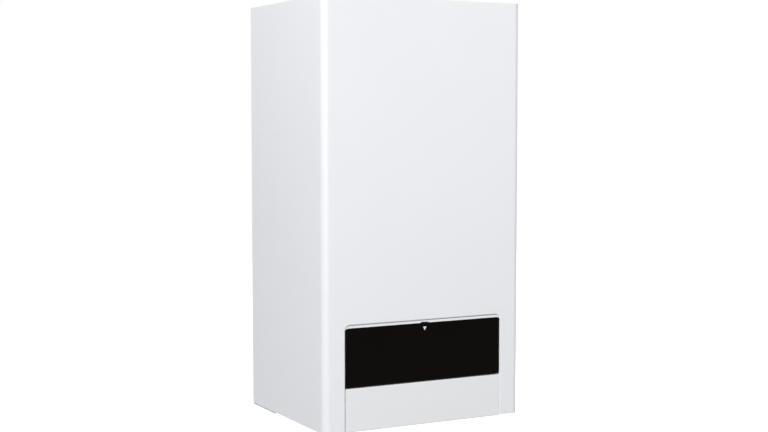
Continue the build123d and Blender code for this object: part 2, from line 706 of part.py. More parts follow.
def floor_plan():
    """Bottom plate outline with its flanges, before any holes."""
    rear = -CHASSIS_SHEET
    plate = block((-CHASSIS_INNER, CHASSIS_INNER), (FLOOR_FRONT, rear), (FLOOR_LEVEL, FLOOR_TOP))
    rise = (FLOOR_LEVEL, FLOOR_TOP + FLOOR_FLANGE)
    side = block((CHASSIS_INNER - CHASSIS_SHEET, CHASSIS_INNER), (FLOOR_FRONT, rear), rise)
    tab = block((CHASSIS_INNER, CHASSIS_HALF), (-UPRIGHT_DEPTH - SKIRT_LENGTH, -UPRIGHT_DEPTH),
                (FLOOR_LEVEL - SKIRT_DROP, FLOOR_TOP))
    return plate + both_sides(side + tab)


def tilt_ear():
    """Ear that carries the control unit's pin, on the right side."""
    near = TILT_LUG_X + TILT_LUG_THICK / 2 + TILT_SIDE_CLEAR
    span = (near, near + TILT_EAR_THICK)
    nose = rod(TILT_LUG_R, (near, TILT_Y, TILT_LEVEL), (near + TILT_EAR_THICK, TILT_Y, TILT_LEVEL))
    arm = block(span, (TILT_Y, FLOOR_FRONT + FLOOR_FLANGE),
                (TILT_LEVEL - TILT_LUG_R, TILT_LEVEL + TILT_LUG_R))
    arm -= block(span, (FLOOR_FRONT, 0), (-HEIGHT, FLOOR_LEVEL))
    ear = nose + arm
    return ear - rod(TILT_PIN_R, (near, TILT_Y, TILT_LEVEL), (near + TILT_EAR_THICK, TILT_Y, TILT_LEVEL))


def floor_holes():
    """Everything that passes through the bottom plate, as round bars."""
    large = PIPE_LARGE_R + GROMMET_WALL
    small = PIPE_SMALL_R + GROMMET_WALL
    places = [(x, PIPE_Y, large) for x in (FLOW_X, 0, RETURN_X)]
    places += [(x, PIPE_Y, small) for x in (HOT_X, COLD_X)]
    places += [(TRAP_X, -TRAP_FROM_WALL, TRAP_TAIL_R + GROMMET_WALL)]
    places += [(x, y, GLAND_R) for x, y in gland_places()]
    return places


def bottom_plate():
    """Floor of the chassis with its pipe holes and hinge ears."""
    body = floor_plan() + both_sides(tilt_ear())
    for x, y, radius in floor_holes():
        body -= rod(radius, (x, y, FLOOR_LEVEL), (x, y, FLOOR_TOP))
    notch = CASING_SCREW_R + CHASSIS_CLEAR
    for x, y in casing_screw_places():
        body -= block((x - notch, x + notch), (FLOOR_FRONT, y + notch), (FLOOR_LEVEL, FLOOR_TOP))
    return body


def top_cover():
    """Lid of the chassis with the hole for the flue collar."""
    plate = block((-CHASSIS_HALF, CHASSIS_HALF), (COVER_FRONT, 0), (COVER_UNDER, COVER_TOP))
    drop = (COVER_UNDER - COVER_FLANGE, COVER_TOP)
    front = block((-CHASSIS_INNER, CHASSIS_INNER), (COVER_FRONT, COVER_FRONT + CHASSIS_SHEET), drop)
    side = block((CHASSIS_INNER - CHASSIS_SHEET, CHASSIS_INNER), (COVER_FRONT, -CHASSIS_SHEET), drop)
    body = plate + front + both_sides(side)
    reach = FLUE_AIR_R + FLUE_WALL
    return body - rod(reach, (0, -FLUE_FROM_WALL, COVER_UNDER), (0, -FLUE_FROM_WALL, COVER_TOP))


def tilt_pins():
    """Headed pins on which the control unit tilts forward."""
    inner = TILT_LUG_X - TILT_LUG_THICK / 2
    outer = TILT_LUG_X + TILT_LUG_THICK / 2 + TILT_SIDE_CLEAR + TILT_EAR_THICK
    shank = rod(TILT_PIN_R, (inner, TILT_Y, TILT_LEVEL), (outer, TILT_Y, TILT_LEVEL))
    head = rod(TILT_HEAD_R, (outer, TILT_Y, TILT_LEVEL), (outer + TILT_EAR_THICK, TILT_Y, TILT_LEVEL))
    pin = shank + head
    return Compound(children=[pin, mirrored(pin)])


def gland_places():
    """Centres of the cable glands on the left of the bottom plate."""
    x = -WIDTH / 2 + GLAND_INSET
    return [(x, -GLAND_FROM_WALL - GLAND_PITCH * index) for index in range(GLAND_COUNT)]


def cable_glands():
    """Glands for the supply and control leads, empty as delivered."""
    glands = []
    for x, y in gland_places():
        sleeve = rod(GLAND_R, (x, y, FLOOR_LEVEL), (x, y, FLOOR_TOP + GLAND_R))
        nut = hexagon(2 * (GLAND_R + GLAND_RIM), (x, y, FLOOR_TOP), (x, y, FLOOR_TOP + GLAND_NUT))
        dome = rod(GLAND_R + GLAND_RIM, (x, y, FLOOR_LEVEL - GLAND_DROP), (x, y, FLOOR_LEVEL))
        dome = chamfer(dome.edges().group_by(Axis.Z)[0], GLAND_EDGE)
        bore = rod(GLAND_BORE_R, (x, y, FLOOR_LEVEL - GLAND_DROP), (x, y, FLOOR_TOP + GLAND_R))
        glands.append(sleeve + nut + dome - bore)
    return Compound(children=glands)


# ---------------------------------------------------------------- flue
def flue_point(height):
    """Point on the flue axis at a height."""
    return (0, -FLUE_FROM_WALL, height)


def collar_screw_places():
    """Screw centres on the collar's flange."""
    radius = (COLLAR_FLANGE_R + FLUE_AIR_R + FLUE_WALL) / 2
    return [(x, y - FLUE_FROM_WALL) for x, y in around(COLLAR_SCREWS, radius, COLLAR_SCREW_TURN)]


def test_port_places():
    """Test points left and right of the collar."""
    return [(side * TEST_PORT_OFFSET, -FLUE_FROM_WALL) for side in (-1, 1)]


def collar_spokes():
    """Thin spokes that centre the flue pipe's socket in the collar."""
    near = SOCKET_R + COLLAR_SPOKE_CLEAR
    far = FLUE_AIR_R + FLUE_WALL / 2
    half = COLLAR_SPOKE_WIDTH / 2
    spoke = block((near, far), (-half, half), (COVER_UNDER, COVER_TOP))
    axis = Pos(0, -FLUE_FROM_WALL, 0)
    turns = [90 + index * 360 / COLLAR_SPOKES for index in range(COLLAR_SPOKES)]
    return [axis * Rot(0, 0, turn) * spoke for turn in turns]


def flue_collar():
    """Outer collar for the air pipe, with its flange, spokes and test points."""
    body = tube(FLUE_AIR_R + FLUE_WALL, FLUE_WALL, flue_point(COVER_UNDER), flue_point(COLLAR_TOP))
    base = COVER_TOP + COLLAR_FLANGE
    body += tube(COLLAR_FLANGE_R, COLLAR_FLANGE_R - FLUE_AIR_R, flue_point(COVER_TOP), flue_point(base))
    for spoke in collar_spokes():
        body += spoke
    body -= seal_ring(FLUE_AIR_R)
    for x, y in test_port_places():
        body += tube(TEST_PORT_R, TEST_PORT_WALL, (x, y, base), (x, y, base + TEST_PORT_RISE))
    for x, y in collar_screw_places():
        body -= rod(COLLAR_SCREW_R, (x, y, COVER_TOP), (x, y, base))
    return body


def seal_ring(radius):
    """Lip seal in the groove just inside a socket's mouth."""
    high = COLLAR_TOP - SEAL_FROM_MOUTH
    return tube(radius + SEAL_DEPTH, SEAL_DEPTH, flue_point(high - SEAL_WIDTH), flue_point(high))


def flue_seals():
    """Lip seals of the flue pipe's socket and of the air collar."""
    return Compound(children=[seal_ring(FLUE_GAS_R), seal_ring(FLUE_AIR_R)])


def collar_screws():
    """Screws that hold the collar on the top cover."""
    base = COVER_TOP + COLLAR_FLANGE
    screws = []
    for x, y in collar_screw_places():
        head = rod(COLLAR_SCREW_HEAD_R, (x, y, base), (x, y, base + COLLAR_SCREW_HEAD))
        screws.append(head + rod(COLLAR_SCREW_R, (x, y, COVER_TOP), (x, y, base)))
    return screws


def exhaust_riser():
    """Moulded pipe from the heat cell's port, widening into the flue pipe's socket."""
    step = SOCKET_FOOT + FLUE_WALL
    body = rod(RISER_R, flue_point(flue_port_level()), flue_point(step))
    body += rod(SOCKET_R, flue_point(SOCKET_FOOT), flue_point(COLLAR_TOP))
    body -= rod(RISER_R - RISER_WALL, flue_point(flue_port_level()), flue_point(step))
    body -= rod(FLUE_GAS_R, flue_point(step), flue_point(COLLAR_TOP))
    return body - seal_ring(FLUE_GAS_R)


# ---------------------------------------------------------------- heat cell
def flue_port_level():
    """Height at which the exhaust riser meets the heat cell's port."""
    return CELL_Z + CELL_R + 2 * CELL_WALL


def cell_point(y):
    """Point on the heat cell's axis."""
    return (CELL_X, y, CELL_Z)


def vessel_form(inset):
    """The vessel's rounded form, drawn in by an inset."""
    half = VESSEL_WIDTH / 2 - inset
    body = block((-half, half), (VESSEL_FRONT + inset, BACK_FRONT - inset),
                 (VESSEL_LOW + inset, VESSEL_LOW + VESSEL_HEIGHT - inset))
    body = fillet(body.edges().filter_by(Axis.Y), VESSEL_CORNER_R - inset)
    rims = body.edges().group_by(Axis.Y)
    return fillet(rims[0] + rims[-1], VESSEL_EDGE_R - inset)


def expansion_vessel():
    """Flat pressed vessel, hollow, with a crimped seam and its water port."""
    half = VESSEL_WIDTH / 2 + VESSEL_SEAM_OUT
    middle = BACK_FRONT - VESSEL_DEPTH / 2
    seam = block((-half, half), (middle - VESSEL_SEAM / 2, middle + VESSEL_SEAM / 2),
                 (VESSEL_LOW - VESSEL_SEAM_OUT, VESSEL_LOW + VESSEL_HEIGHT + VESSEL_SEAM_OUT))
    seam = fillet(seam.edges().filter_by(Axis.Y), VESSEL_CORNER_R + VESSEL_SEAM_OUT)
    port = rod(VESSEL_PORT_R, (0, middle, VESSEL_LOW - 2 * VESSEL_PORT_R),
               (0, middle, VESSEL_LOW + VESSEL_PORT_R))
    return vessel_form(0) + seam + port - vessel_form(VESSEL_WALL)


def cell_bracket():
    """Hat-shaped bracket that bridges the vessel and carries the heat cell."""
    half = VESSEL_WIDTH / 2 + CELL_BRACKET_CLEAR
    front = VESSEL_FRONT - CELL_BRACKET_SPACE
    span = (CELL_BRACKET_LOW, CELL_BRACKET_HIGH)
    plate = block((-half - CHASSIS_SHEET, half + CHASSIS_SHEET), (front - CHASSIS_SHEET, front), span)
    arm = block((half, half + CHASSIS_SHEET), (front, BACK_FRONT), span)
    foot = block((half, half + CELL_BRACKET_FOOT), (BACK_FRONT - CHASSIS_SHEET, BACK_FRONT), span)
    return plate + both_sides(arm + foot)


def cell_screws():
    """Screws through the feet of the heat cell's bracket."""
    x = VESSEL_WIDTH / 2 + CELL_BRACKET_CLEAR + CHASSIS_SHEET + CELL_BRACKET_FOOT / 2
    face = BACK_FRONT - CHASSIS_SHEET
    screws = []
    for side in (-1, 1):
        for z in (CELL_BRACKET_LOW + CELL_SCREW_END, CELL_BRACKET_HIGH - CELL_SCREW_END):
            start, end = (side * x, face, z), (side * x, face - CELL_SCREW_HEAD, z)
            screws.append(hexagon(CELL_SCREW_FLAT, start, end))
    return screws


def cell_shell():
    """Round shell of the heat cell with its flange and ports."""
    body = rod(CELL_R, cell_point(CELL_REAR), cell_point(CELL_FRONT))
    body += rod(CELL_FLANGE_R, cell_point(CELL_FRONT + CELL_FLANGE), cell_point(CELL_FRONT))
    for x in (FLOW_X, PUMP_X):
        body += rod(CELL_PORT_R, (x, RISER_Y, port_level(x)), (x, RISER_Y, CELL_Z))
    low = CELL_Z - CELL_R - CONDENSATE_PORT_DROP
    body += rod(CONDENSATE_PORT_R, (CELL_X, CONDENSATE_PORT_Y, low), (CELL_X, CONDENSATE_PORT_Y, CELL_Z))
    high = flue_port_level()
    body += rod(RISER_R, flue_point(CELL_Z), flue_point(high))
    body -= rod(CELL_R - CELL_WALL, cell_point(CELL_REAR - CELL_WALL), cell_point(CELL_FRONT))
    return body - rod(RISER_R - RISER_WALL, flue_point(CELL_Z), flue_point(high))


def port_level(x):
    """Lower end of the heat cell's water port at a width position."""
    return CELL_Z - math.sqrt(CELL_R ** 2 - (x - CELL_X) ** 2) - CELL_PORT_DROP


def cell_coil():
    """Flattened hollow turns of the heat cell's coil, stacked along its axis."""
    start = CELL_REAR - CELL_WALL - COIL_REAR_GAP
    end = start - COIL_TURNS * COIL_TURN_PITCH
    body = rod(COIL_OUTER_R - COIL_GROOVE, cell_point(start), cell_point(end))
    turn_depth = COIL_TURN_PITCH - COIL_GROOVE
    band = COIL_OUTER_R - COIL_INNER_R - 2 * COIL_WALL
    waterways = []
    for index in range(COIL_TURNS):
        rear = start - index * COIL_TURN_PITCH
        body += rod(COIL_OUTER_R, cell_point(rear), cell_point(rear - turn_depth))
        waterways.append(tube(COIL_OUTER_R - COIL_WALL, band, cell_point(rear - COIL_WALL),
                              cell_point(rear - turn_depth + COIL_WALL)))
    body -= rod(COIL_INNER_R, cell_point(start), cell_point(end))
    for waterway in waterways:
        body -= waterway
    return body


def stud_places():
    """Centres of the door's studs, as width and height."""
    return [(CELL_X + x, CELL_Z + z) for x, z in around(NUT_COUNT, NUT_CIRCLE_R, NUT_TURN)]


def mixture_level():
    """Height of the channel between the fan and the burner door."""
    return FAN_Z + FAN_R - FAN_OUTLET / 2


def burner_door():
    """Cast door with its dome and the channel that brings the mixture."""
    body = rod(CELL_FLANGE_R, cell_point(CELL_FRONT), cell_point(DOOR_FRONT))
    dome = rod(DOOR_DOME_R, cell_point(DOOR_FRONT), cell_point(DOOR_FRONT - DOOR_DOME_RISE))
    dome = fillet(dome.edges().group_by(Axis.Y)[0], DOOR_DOME_EDGE_R)
    level = mixture_level()
    channel = block((CELL_X, channel_end()), channel_depth(),
                    (level - DOOR_ARM / 2, level + DOOR_ARM / 2))
    channel = fillet(channel.edges().filter_by(Axis.X), DOOR_ARM_EDGE_R)
    rib = block((CELL_X - DOOR_RIB_REACH, CELL_X + DOOR_RIB_REACH),
                (DOOR_FRONT - DOOR_RIB_RISE, DOOR_FRONT),
                (CELL_Z - DOOR_RIB_WIDTH / 2, CELL_Z + DOOR_RIB_WIDTH / 2))
    rib += Pos(*cell_point(0)) * Rot(0, 90, 0) * Pos(-CELL_X, 0, -CELL_Z) * rib
    body += dome + rib + channel
    for x, z in stud_places():
        body -= rod(STUD_R, (x, CELL_FRONT, z), (x, DOOR_FRONT, z))
    for place in electrode_places():
        body -= rod(ELECTRODE_CERAMIC_R, (place, CELL_FRONT, electrode_level()),
                    (place, DOOR_FRONT, electrode_level()))
    return body


def channel_end():
    """Where the fan's outlet meets the burner door's channel."""
    return FAN_X - FAN_R


def channel_depth():
    """Front and rear of the mixture channel."""
    middle = (FAN_FRONT + FAN_REAR) / 2
    return (middle - DOOR_ARM_DEPTH / 2, middle + DOOR_ARM_DEPTH / 2)


def door_nuts():
    """Studs of the flange, each with its nut against the door."""
    parts = []
    for x, z in stud_places():
        stud = rod(STUD_R, (x, CELL_FRONT, z), (x, DOOR_FRONT - STUD_OUT, z))
        nut = hexagon(NUT_FLAT, (x, DOOR_FRONT, z), (x, DOOR_FRONT - NUT_HEIGHT, z))
        parts.append(stud + nut)
    return parts


def door_insulation():
    """Ceramic pad behind the door, round the burner."""
    rear = CELL_FRONT + INSULATION_THICK
    body = rod(INSULATION_R, cell_point(CELL_FRONT), cell_point(rear))
    body -= rod(BURNER_R, cell_point(CELL_FRONT), cell_point(rear))
    for place in electrode_places():
        body -= rod(ELECTRODE_CERAMIC_R, (place, CELL_FRONT, electrode_level()),
                    (place, rear, electrode_level()))
    return body


def burner_tube():
    """Perforated steel tube that holds the flame, closed at its end."""
    rear = CELL_FRONT + BURNER_LENGTH
    body = rod(BURNER_R, cell_point(CELL_FRONT), cell_point(rear))
    return body - rod(BURNER_R - BURNER_WALL, cell_point(CELL_FRONT), cell_point(rear - BURNER_WALL))


def electrode_places():
    """Width positions of the ignition and flame-sensing electrodes."""
    return [CELL_X + side * ELECTRODE_SPACING / 2 for side in (-1, 1)]


def electrode_level():
    """Height of the electrodes, below the burner."""
    return CELL_Z - ELECTRODE_OFFSET


def ignition_electrodes():
    """Two electrodes, each a rod in its ceramic sleeve."""
    parts = []
    for x in electrode_places():
        z = electrode_level()
        sleeve = rod(ELECTRODE_CERAMIC_R, (x, DOOR_FRONT, z), (x, DOOR_FRONT + ELECTRODE_CERAMIC, z))
        wire = rod(ELECTRODE_R, (x, DOOR_FRONT, z), (x, DOOR_FRONT + ELECTRODE_LENGTH, z))
        parts.append(sleeve + wire)
    return Compound(children=parts)


# ---------------------------------------------------------------- fan and gas
def fan_point(y):
    """Point on the fan's axis."""
    return (FAN_X, y, FAN_Z)


def fan_housing():
    """Scroll of the fan with its outlet towards the burner door."""
    body = rod(FAN_R, fan_point(FAN_FRONT), fan_point(FAN_REAR))
    level = mixture_level()
    outlet = block((channel_end(), FAN_X), (FAN_FRONT, FAN_REAR),
                   (level - FAN_OUTLET / 2, level + FAN_OUTLET / 2))
    body += outlet
    chamber = (FAN_FRONT + FAN_WALL, FAN_REAR - FAN_WALL)
    body -= rod(FAN_R - FAN_WALL, fan_point(chamber[0]), fan_point(chamber[1]))
    body -= block((channel_end(), FAN_X), chamber,
                  (level - FAN_OUTLET / 2 + FAN_WALL, level + FAN_OUTLET / 2 - FAN_WALL))
    body -= rod(FAN_EYE_R, fan_point(FAN_REAR - FAN_WALL), fan_point(FAN_REAR))
    return body - rod(FAN_SHAFT_R + SHAFT_ROOM, fan_point(FAN_FRONT), fan_point(FAN_FRONT + FAN_WALL))


def fan_blade(turn):
    """One backward-curved blade of the fan wheel, turned into place."""
    front = FAN_FRONT + FAN_WALL + FAN_WHEEL_CLEAR
    depth = FAN_DEPTH - 2 * (FAN_WALL + FAN_WHEEL_CLEAR)
    start, end = FAN_EYE_R - FAN_BLADE_THICK, FAN_WHEEL_R
    middle = (start + end) / 2
    inner = ThreePointArc((start, 0), (middle, FAN_BLADE_BOW), (end, 0))
    outer = inner.moved(Pos(0, FAN_BLADE_THICK))
    face = make_face([inner, Line(inner @ 1, outer @ 1), outer, Line(outer @ 0, inner @ 0)])
    plane = Plane(origin=fan_point(front), x_dir=(1, 0, 0), z_dir=(0, 1, 0))
    return extrude(plane * Rot(0, 0, turn) * face, depth)


def fan_impeller():
    """Fan wheel with its hub, back disc, blades and shaft."""
    front = FAN_FRONT + FAN_WALL + FAN_WHEEL_CLEAR
    body = rod(FAN_DISC_R, fan_point(front), fan_point(front + FAN_DISC))
    for index in range(FAN_BLADES):
        body += fan_blade(index * 360 / FAN_BLADES)
    body += rod(FAN_HUB_R, fan_point(front), fan_point(front + FAN_HUB))
    return body + rod(FAN_SHAFT_R, fan_point(FAN_FRONT - FAN_MOTOR_DEPTH / 2), fan_point(front))


def fan_motor():
    """Motor on the front of the scroll, bored for the wheel's shaft."""
    front = FAN_FRONT - FAN_MOTOR_DEPTH
    body = rod(FAN_MOTOR_R, fan_point(FAN_FRONT), fan_point(front))
    body = chamfer(body.edges().group_by(Axis.Y)[0], FAN_MOTOR_EDGE)
    half = FAN_PLUG_WIDTH / 2
    rim = FAN_Z - FAN_MOTOR_R
    body += block((FAN_X - half, FAN_X + half), (front + FAN_PLUG_SET, FAN_FRONT),
                  (rim - FAN_PLUG_DROP, rim + FAN_PLUG_SET))
    bore_end = FAN_FRONT - FAN_MOTOR_DEPTH / 2 - SHAFT_END_GAP
    return body - rod(FAN_SHAFT_R + SHAFT_CLEAR, fan_point(bore_end), fan_point(FAN_FRONT))


def mixer():
    """Venturi behind the fan, where gas meets air."""
    body = rod(MIXER_NECK_R, fan_point(FAN_REAR), fan_point(MIXER_REAR))
    body += rod(MIXER_R, fan_point(FAN_REAR), fan_point(FAN_REAR + MIXER_RIM))
    body += rod(MIXER_R, fan_point(MIXER_REAR - MIXER_RIM), fan_point(MIXER_REAR))
    body += rod(GAS_BRIDGE_R + MIXER_BOSS, gas_point(FAN_Z - MIXER_R), gas_point(FAN_Z - MIXER_R / 2))
    return body - rod(FAN_EYE_R, fan_point(FAN_REAR), fan_point(MIXER_REAR))


def air_intake_duct():
    """Plastic duct that feeds the mixer with air from the top of the case."""
    back = MIXER_REAR + AIR_DUCT_OUT
    points = [fan_point(MIXER_REAR), fan_point(back), (FAN_X, back, AIR_DUCT_TOP)]
    body = bent_pipe(points, AIR_DUCT_R, AIR_DUCT_BEND)
    bore = bent_pipe(points, AIR_DUCT_R - AIR_DUCT_WALL, AIR_DUCT_BEND)
    return body - bore


def gas_point(height):
    """Point on the upright line of the gas valve and the mixer's boss."""
    return (FAN_X, GAS_LINE_Y, height)


def gas_valve():
    """Gas valve with its two coils, pressure taps, outlet and inlet."""
    half = GAS_VALVE_WIDTH / 2
    front = GAS_LINE_Y - GAS_VALVE_DEPTH / 2
    rear = GAS_LINE_Y + GAS_VALVE_DEPTH / 2
    body = block((FAN_X - half, FAN_X + half), (front, rear), (GAS_VALVE_LOW, GAS_VALVE_TOP))
    body = fillet(body.edges().filter_by(Axis.Y), GAS_VALVE_EDGE_R)
    middle = GAS_VALVE_LOW + GAS_VALVE_HEIGHT / 2
    tap = GAS_VALVE_LOW + GAS_TAP_LEVEL
    for side in (-1, 1):
        x = FAN_X + side * half / 2
        body += rod(GAS_COIL_R, (x, front, middle), (x, front - GAS_COIL_HEIGHT, middle))
        body += rod(GAS_TAP_R, (x, front, tap), (x, front - GAS_TAP_OUT, tap))
    outlet = GAS_VALVE_TOP + GAS_OUTLET_RISE
    body += rod(GAS_BRIDGE_R + BRANCH_COLLAR, gas_point(GAS_VALVE_TOP), gas_point(outlet))
    inlet = GAS_VALVE_LOW - GAS_INLET_DROP
    return body + rod(PIPE_LARGE_R + BRANCH_COLLAR, gas_point(GAS_VALVE_LOW), gas_point(inlet))


def gas_bridge_pipe():
    """Short pipe from the gas valve up to the mixer."""
    low = GAS_VALVE_TOP + GAS_OUTLET_RISE
    return tube(GAS_BRIDGE_R, PIPE_WALL, gas_point(low), gas_point(FAN_Z - MIXER_R))


def gas_pipe():
    """Copper pipe from the gas connection up to the valve."""
    level = PUMP_Z + PUMP_MOTOR_R + PUMP_BOX_HEIGHT + 2 * PIPE_LARGE_R
    points = [(0, PIPE_Y, -PIPE_TAIL), (0, PIPE_Y, level), (FAN_X, PIPE_Y, level), gas_point(level),
              gas_point(GAS_VALVE_LOW - GAS_INLET_DROP)]
    body = bent_pipe(points, PIPE_LARGE_R, PIPE_BEND) + tail_bead(0, PIPE_LARGE_R)
    return body - bent_pipe(points, PIPE_LARGE_R - PIPE_WALL, PIPE_BEND)


def ignition_unit():
    """Ignition transformer on the heat cell's bracket."""
    plate = CELL_REAR
    x = -VESSEL_WIDTH / 2 - CELL_BRACKET_CLEAR
    high = CELL_BRACKET_HIGH - IGNITER_DROP
    face = plate - IGNITER_DEPTH
    body = block((x, x + IGNITER_WIDTH), (face, plate), (high - IGNITER_HEIGHT, high))
    body = fillet(body.edges().group_by(Axis.Y)[0], IGNITER_EDGE_R)
    across, level = x + IGNITER_WIDTH / 3, high - IGNITER_HEIGHT / 2
    return body + rod(IGNITER_SPIGOT_R, (across, face, level), (across, face - IGNITER_SPIGOT, level))


# ---------------------------------------------------------------- hydraulics
def water_pipes():
    """Four tails below the case and the two risers to the heat cell."""
    large = [connection_pipe(x, PIPE_LARGE_R) for x in (FLOW_X, RETURN_X)]
    small = [connection_pipe(x, PIPE_SMALL_R) for x in (HOT_X, COLD_X)]
    pump_top = PUMP_Z + PUMP_R + BRANCH_RISE
    return large + small + [riser_pipe(FLOW_X, BLOCK_TOP + BRANCH_RISE), riser_pipe(PUMP_X, pump_top)]


def tail_bead(x, radius):
    """Rolled bead of a pipe, just under the bottom plate."""
    return rod(radius + PIPE_BEAD, (x, PIPE_Y, FLOOR_LEVEL - PIPE_BEAD_WIDTH), (x, PIPE_Y, FLOOR_LEVEL))


def connection_pipe(x, radius):
    """Straight copper tail from below the case up to its block."""
    body = rod(radius, (x, PIPE_Y, -PIPE_TAIL), (x, PIPE_Y, BLOCK_LOW)) + tail_bead(x, radius)
    return body - rod(radius - PIPE_WALL, (x, PIPE_Y, -PIPE_TAIL), (x, PIPE_Y, BLOCK_LOW))


def riser_pipe(x, low):
    """Straight copper riser up to the heat cell's port."""
    return tube(PIPE_LARGE_R, PIPE_WALL, (x, RISER_Y, low), (x, RISER_Y, port_level(x)))


def union_nuts():
    """Union nuts that hold the five pipes, inside the case."""
    pipes = [(x, PIPE_LARGE_R, NUT_LARGE_FLAT) for x in (FLOW_X, 0, RETURN_X)]
    pipes += [(x, PIPE_SMALL_R, NUT_SMALL_FLAT) for x in (HOT_X, COLD_X)]
    nuts = []
    for x, radius, flat in pipes:
        nut = hexagon(flat, (x, PIPE_Y, UNION_LEVEL), (x, PIPE_Y, UNION_LEVEL + UNION_HEIGHT))
        nuts.append(nut - rod(radius, (x, PIPE_Y, UNION_LEVEL), (x, PIPE_Y, UNION_LEVEL + UNION_HEIGHT)))
    return Compound(children=nuts)


def pipe_grommets():
    """Rubber bushes between the pipes and the bottom plate."""
    pipes = [(x, PIPE_LARGE_R) for x in (FLOW_X, 0, RETURN_X)]
    pipes += [(x, PIPE_SMALL_R) for x in (HOT_X, COLD_X)]
    brim_wall = GROMMET_WALL + GROMMET_BRIM
    bushes = []
    for x, radius in pipes:
        bush = tube(radius + GROMMET_WALL, GROMMET_WALL, (x, PIPE_Y, FLOOR_LEVEL), (x, PIPE_Y, FLOOR_TOP))
        brim = tube(radius + brim_wall, brim_wall, (x, PIPE_Y, FLOOR_TOP),
                    (x, PIPE_Y, FLOOR_TOP + GROMMET_HEIGHT))
        bushes.append(bush + brim)
    return Compound(children=bushes)


def hydraulic_block(side):
    """Moulded water block: rear bar over two pipes and a forward arm."""
    outer = 2 * PIPE_SPACING + BLOCK_ARM_WIDTH / 2
    span = (BLOCK_LOW, BLOCK_TOP)
    bar = block((BLOCK_INNER, outer), (BLOCK_FRONT, BLOCK_FRONT + BLOCK_DEPTH), span)
    arm = block((outer - BLOCK_ARM_WIDTH, outer), (-BLOCK_ARM_REACH, BLOCK_FRONT), span)
    body = bar + arm
    body = fillet(upright_edges(body), BLOCK_EDGE_R)
    return body if side > 0 else mirrored(body)


def flow_block():
    """Left-hand block, with the diverter valve's seat."""
    body = hydraulic_block(-1)
    seat = FLOW_X + PIPE_SPACING / 2
    high = BLOCK_TOP + BRANCH_RISE
    body += rod(DIVERTER_R, (seat, PIPE_Y, BLOCK_TOP), (seat, PIPE_Y, high))
    return body + rod(PIPE_LARGE_R + BRANCH_COLLAR, (FLOW_X, RISER_Y, BLOCK_TOP), (FLOW_X, RISER_Y, high))


def return_block():
    """Right-hand block, with the pump's suction branch and a safety branch."""
    body = hydraulic_block(1)
    half = BLOCK_ARM_WIDTH / 2
    tower = block((RETURN_X - half, RETURN_X + half), (-BLOCK_ARM_REACH, -BLOCK_ARM_REACH + BLOCK_DEPTH),
                  (BLOCK_TOP - BLOCK_EDGE_R, PUMP_Z + PUMP_PORT_R + BLOCK_EDGE_R))
    body += fillet(upright_edges(tower), BLOCK_EDGE_R)
    branch_end = PUMP_X + PUMP_R + PUMP_BRANCH
    return body + rod(PUMP_PORT_R, (branch_end, RISER_Y, PUMP_Z), (RETURN_X, RISER_Y, PUMP_Z))


def plate_heat_exchanger():
    """Stack of brazed plates between the two blocks."""
    rear = BLOCK_FRONT
    half = PLATE_PACK_WIDTH / 2
    span = (PLATE_PACK_LOW, PLATE_PACK_LOW + PLATE_PACK_HEIGHT)
    body = None
    for index in range(PLATE_COUNT):
        back = rear - index * PLATE_PITCH
        rim = block((-half, half), (back - PLATE_RIM, back), span)
        rim = fillet(rim.edges().filter_by(Axis.Y), PLATE_CORNER_R)
        body = rim if body is None else body + rim
        inset = PLATE_RIM
        core = block((inset - half, half - inset), (back - PLATE_PITCH, back - PLATE_RIM),
                     (span[0] + inset, span[1] - inset))
        if index < PLATE_COUNT - 1:
            body += fillet(core.edges().filter_by(Axis.Y), PLATE_CORNER_R - inset)
    return body


def pump_point(y):
    """Point on the pump's axis."""
    return (PUMP_X, y, PUMP_Z)


def pump_span():
    """Front and rear of the pump's volute."""
    rear = RISER_Y + PUMP_DEPTH / 2
    return (rear - PUMP_DEPTH, rear)


def pump_housing():
    """Cast volute with its suction and delivery branches."""
    front, rear = pump_span()
    body = rod(PUMP_R, pump_point(front), pump_point(rear))
    centre = pump_point(RISER_Y)
    body += rod(PUMP_PORT_R, centre, (PUMP_X + PUMP_R + PUMP_BRANCH, RISER_Y, PUMP_Z))
    body += rod(PUMP_PORT_R, centre, (PUMP_X, RISER_Y, PUMP_Z + PUMP_R + BRANCH_RISE))
    return body - rod(PUMP_R - PUMP_WALL, pump_point(front), pump_point(rear - PUMP_WALL))


def pump_impeller():
    """Pump wheel with its vanes and shaft."""
    front, rear = pump_span()
    disc = (front + PUMP_WALL, front + 2 * PUMP_WALL)
    body = rod(PUMP_WHEEL_R, pump_point(disc[0]), pump_point(disc[1]))
    half = PUMP_VANE_THICK / 2
    vane = block((PUMP_X, PUMP_X + PUMP_WHEEL_R - PUMP_VANE_INSET), (disc[1], rear - 2 * PUMP_WALL),
                 (PUMP_Z - half, PUMP_Z + half))
    for index in range(PUMP_VANES):
        turn = Pos(*pump_point(0)) * Rot(0, index * 360 / PUMP_VANES, 0) * Pos(-PUMP_X, 0, -PUMP_Z)
        body += turn * vane
    body += rod(2 * PUMP_SHAFT_R, pump_point(disc[1]), pump_point(rear - 2 * PUMP_WALL))
    return body + rod(PUMP_SHAFT_R, pump_point(front - PUMP_MOTOR_DEPTH / 2), pump_point(disc[0]))


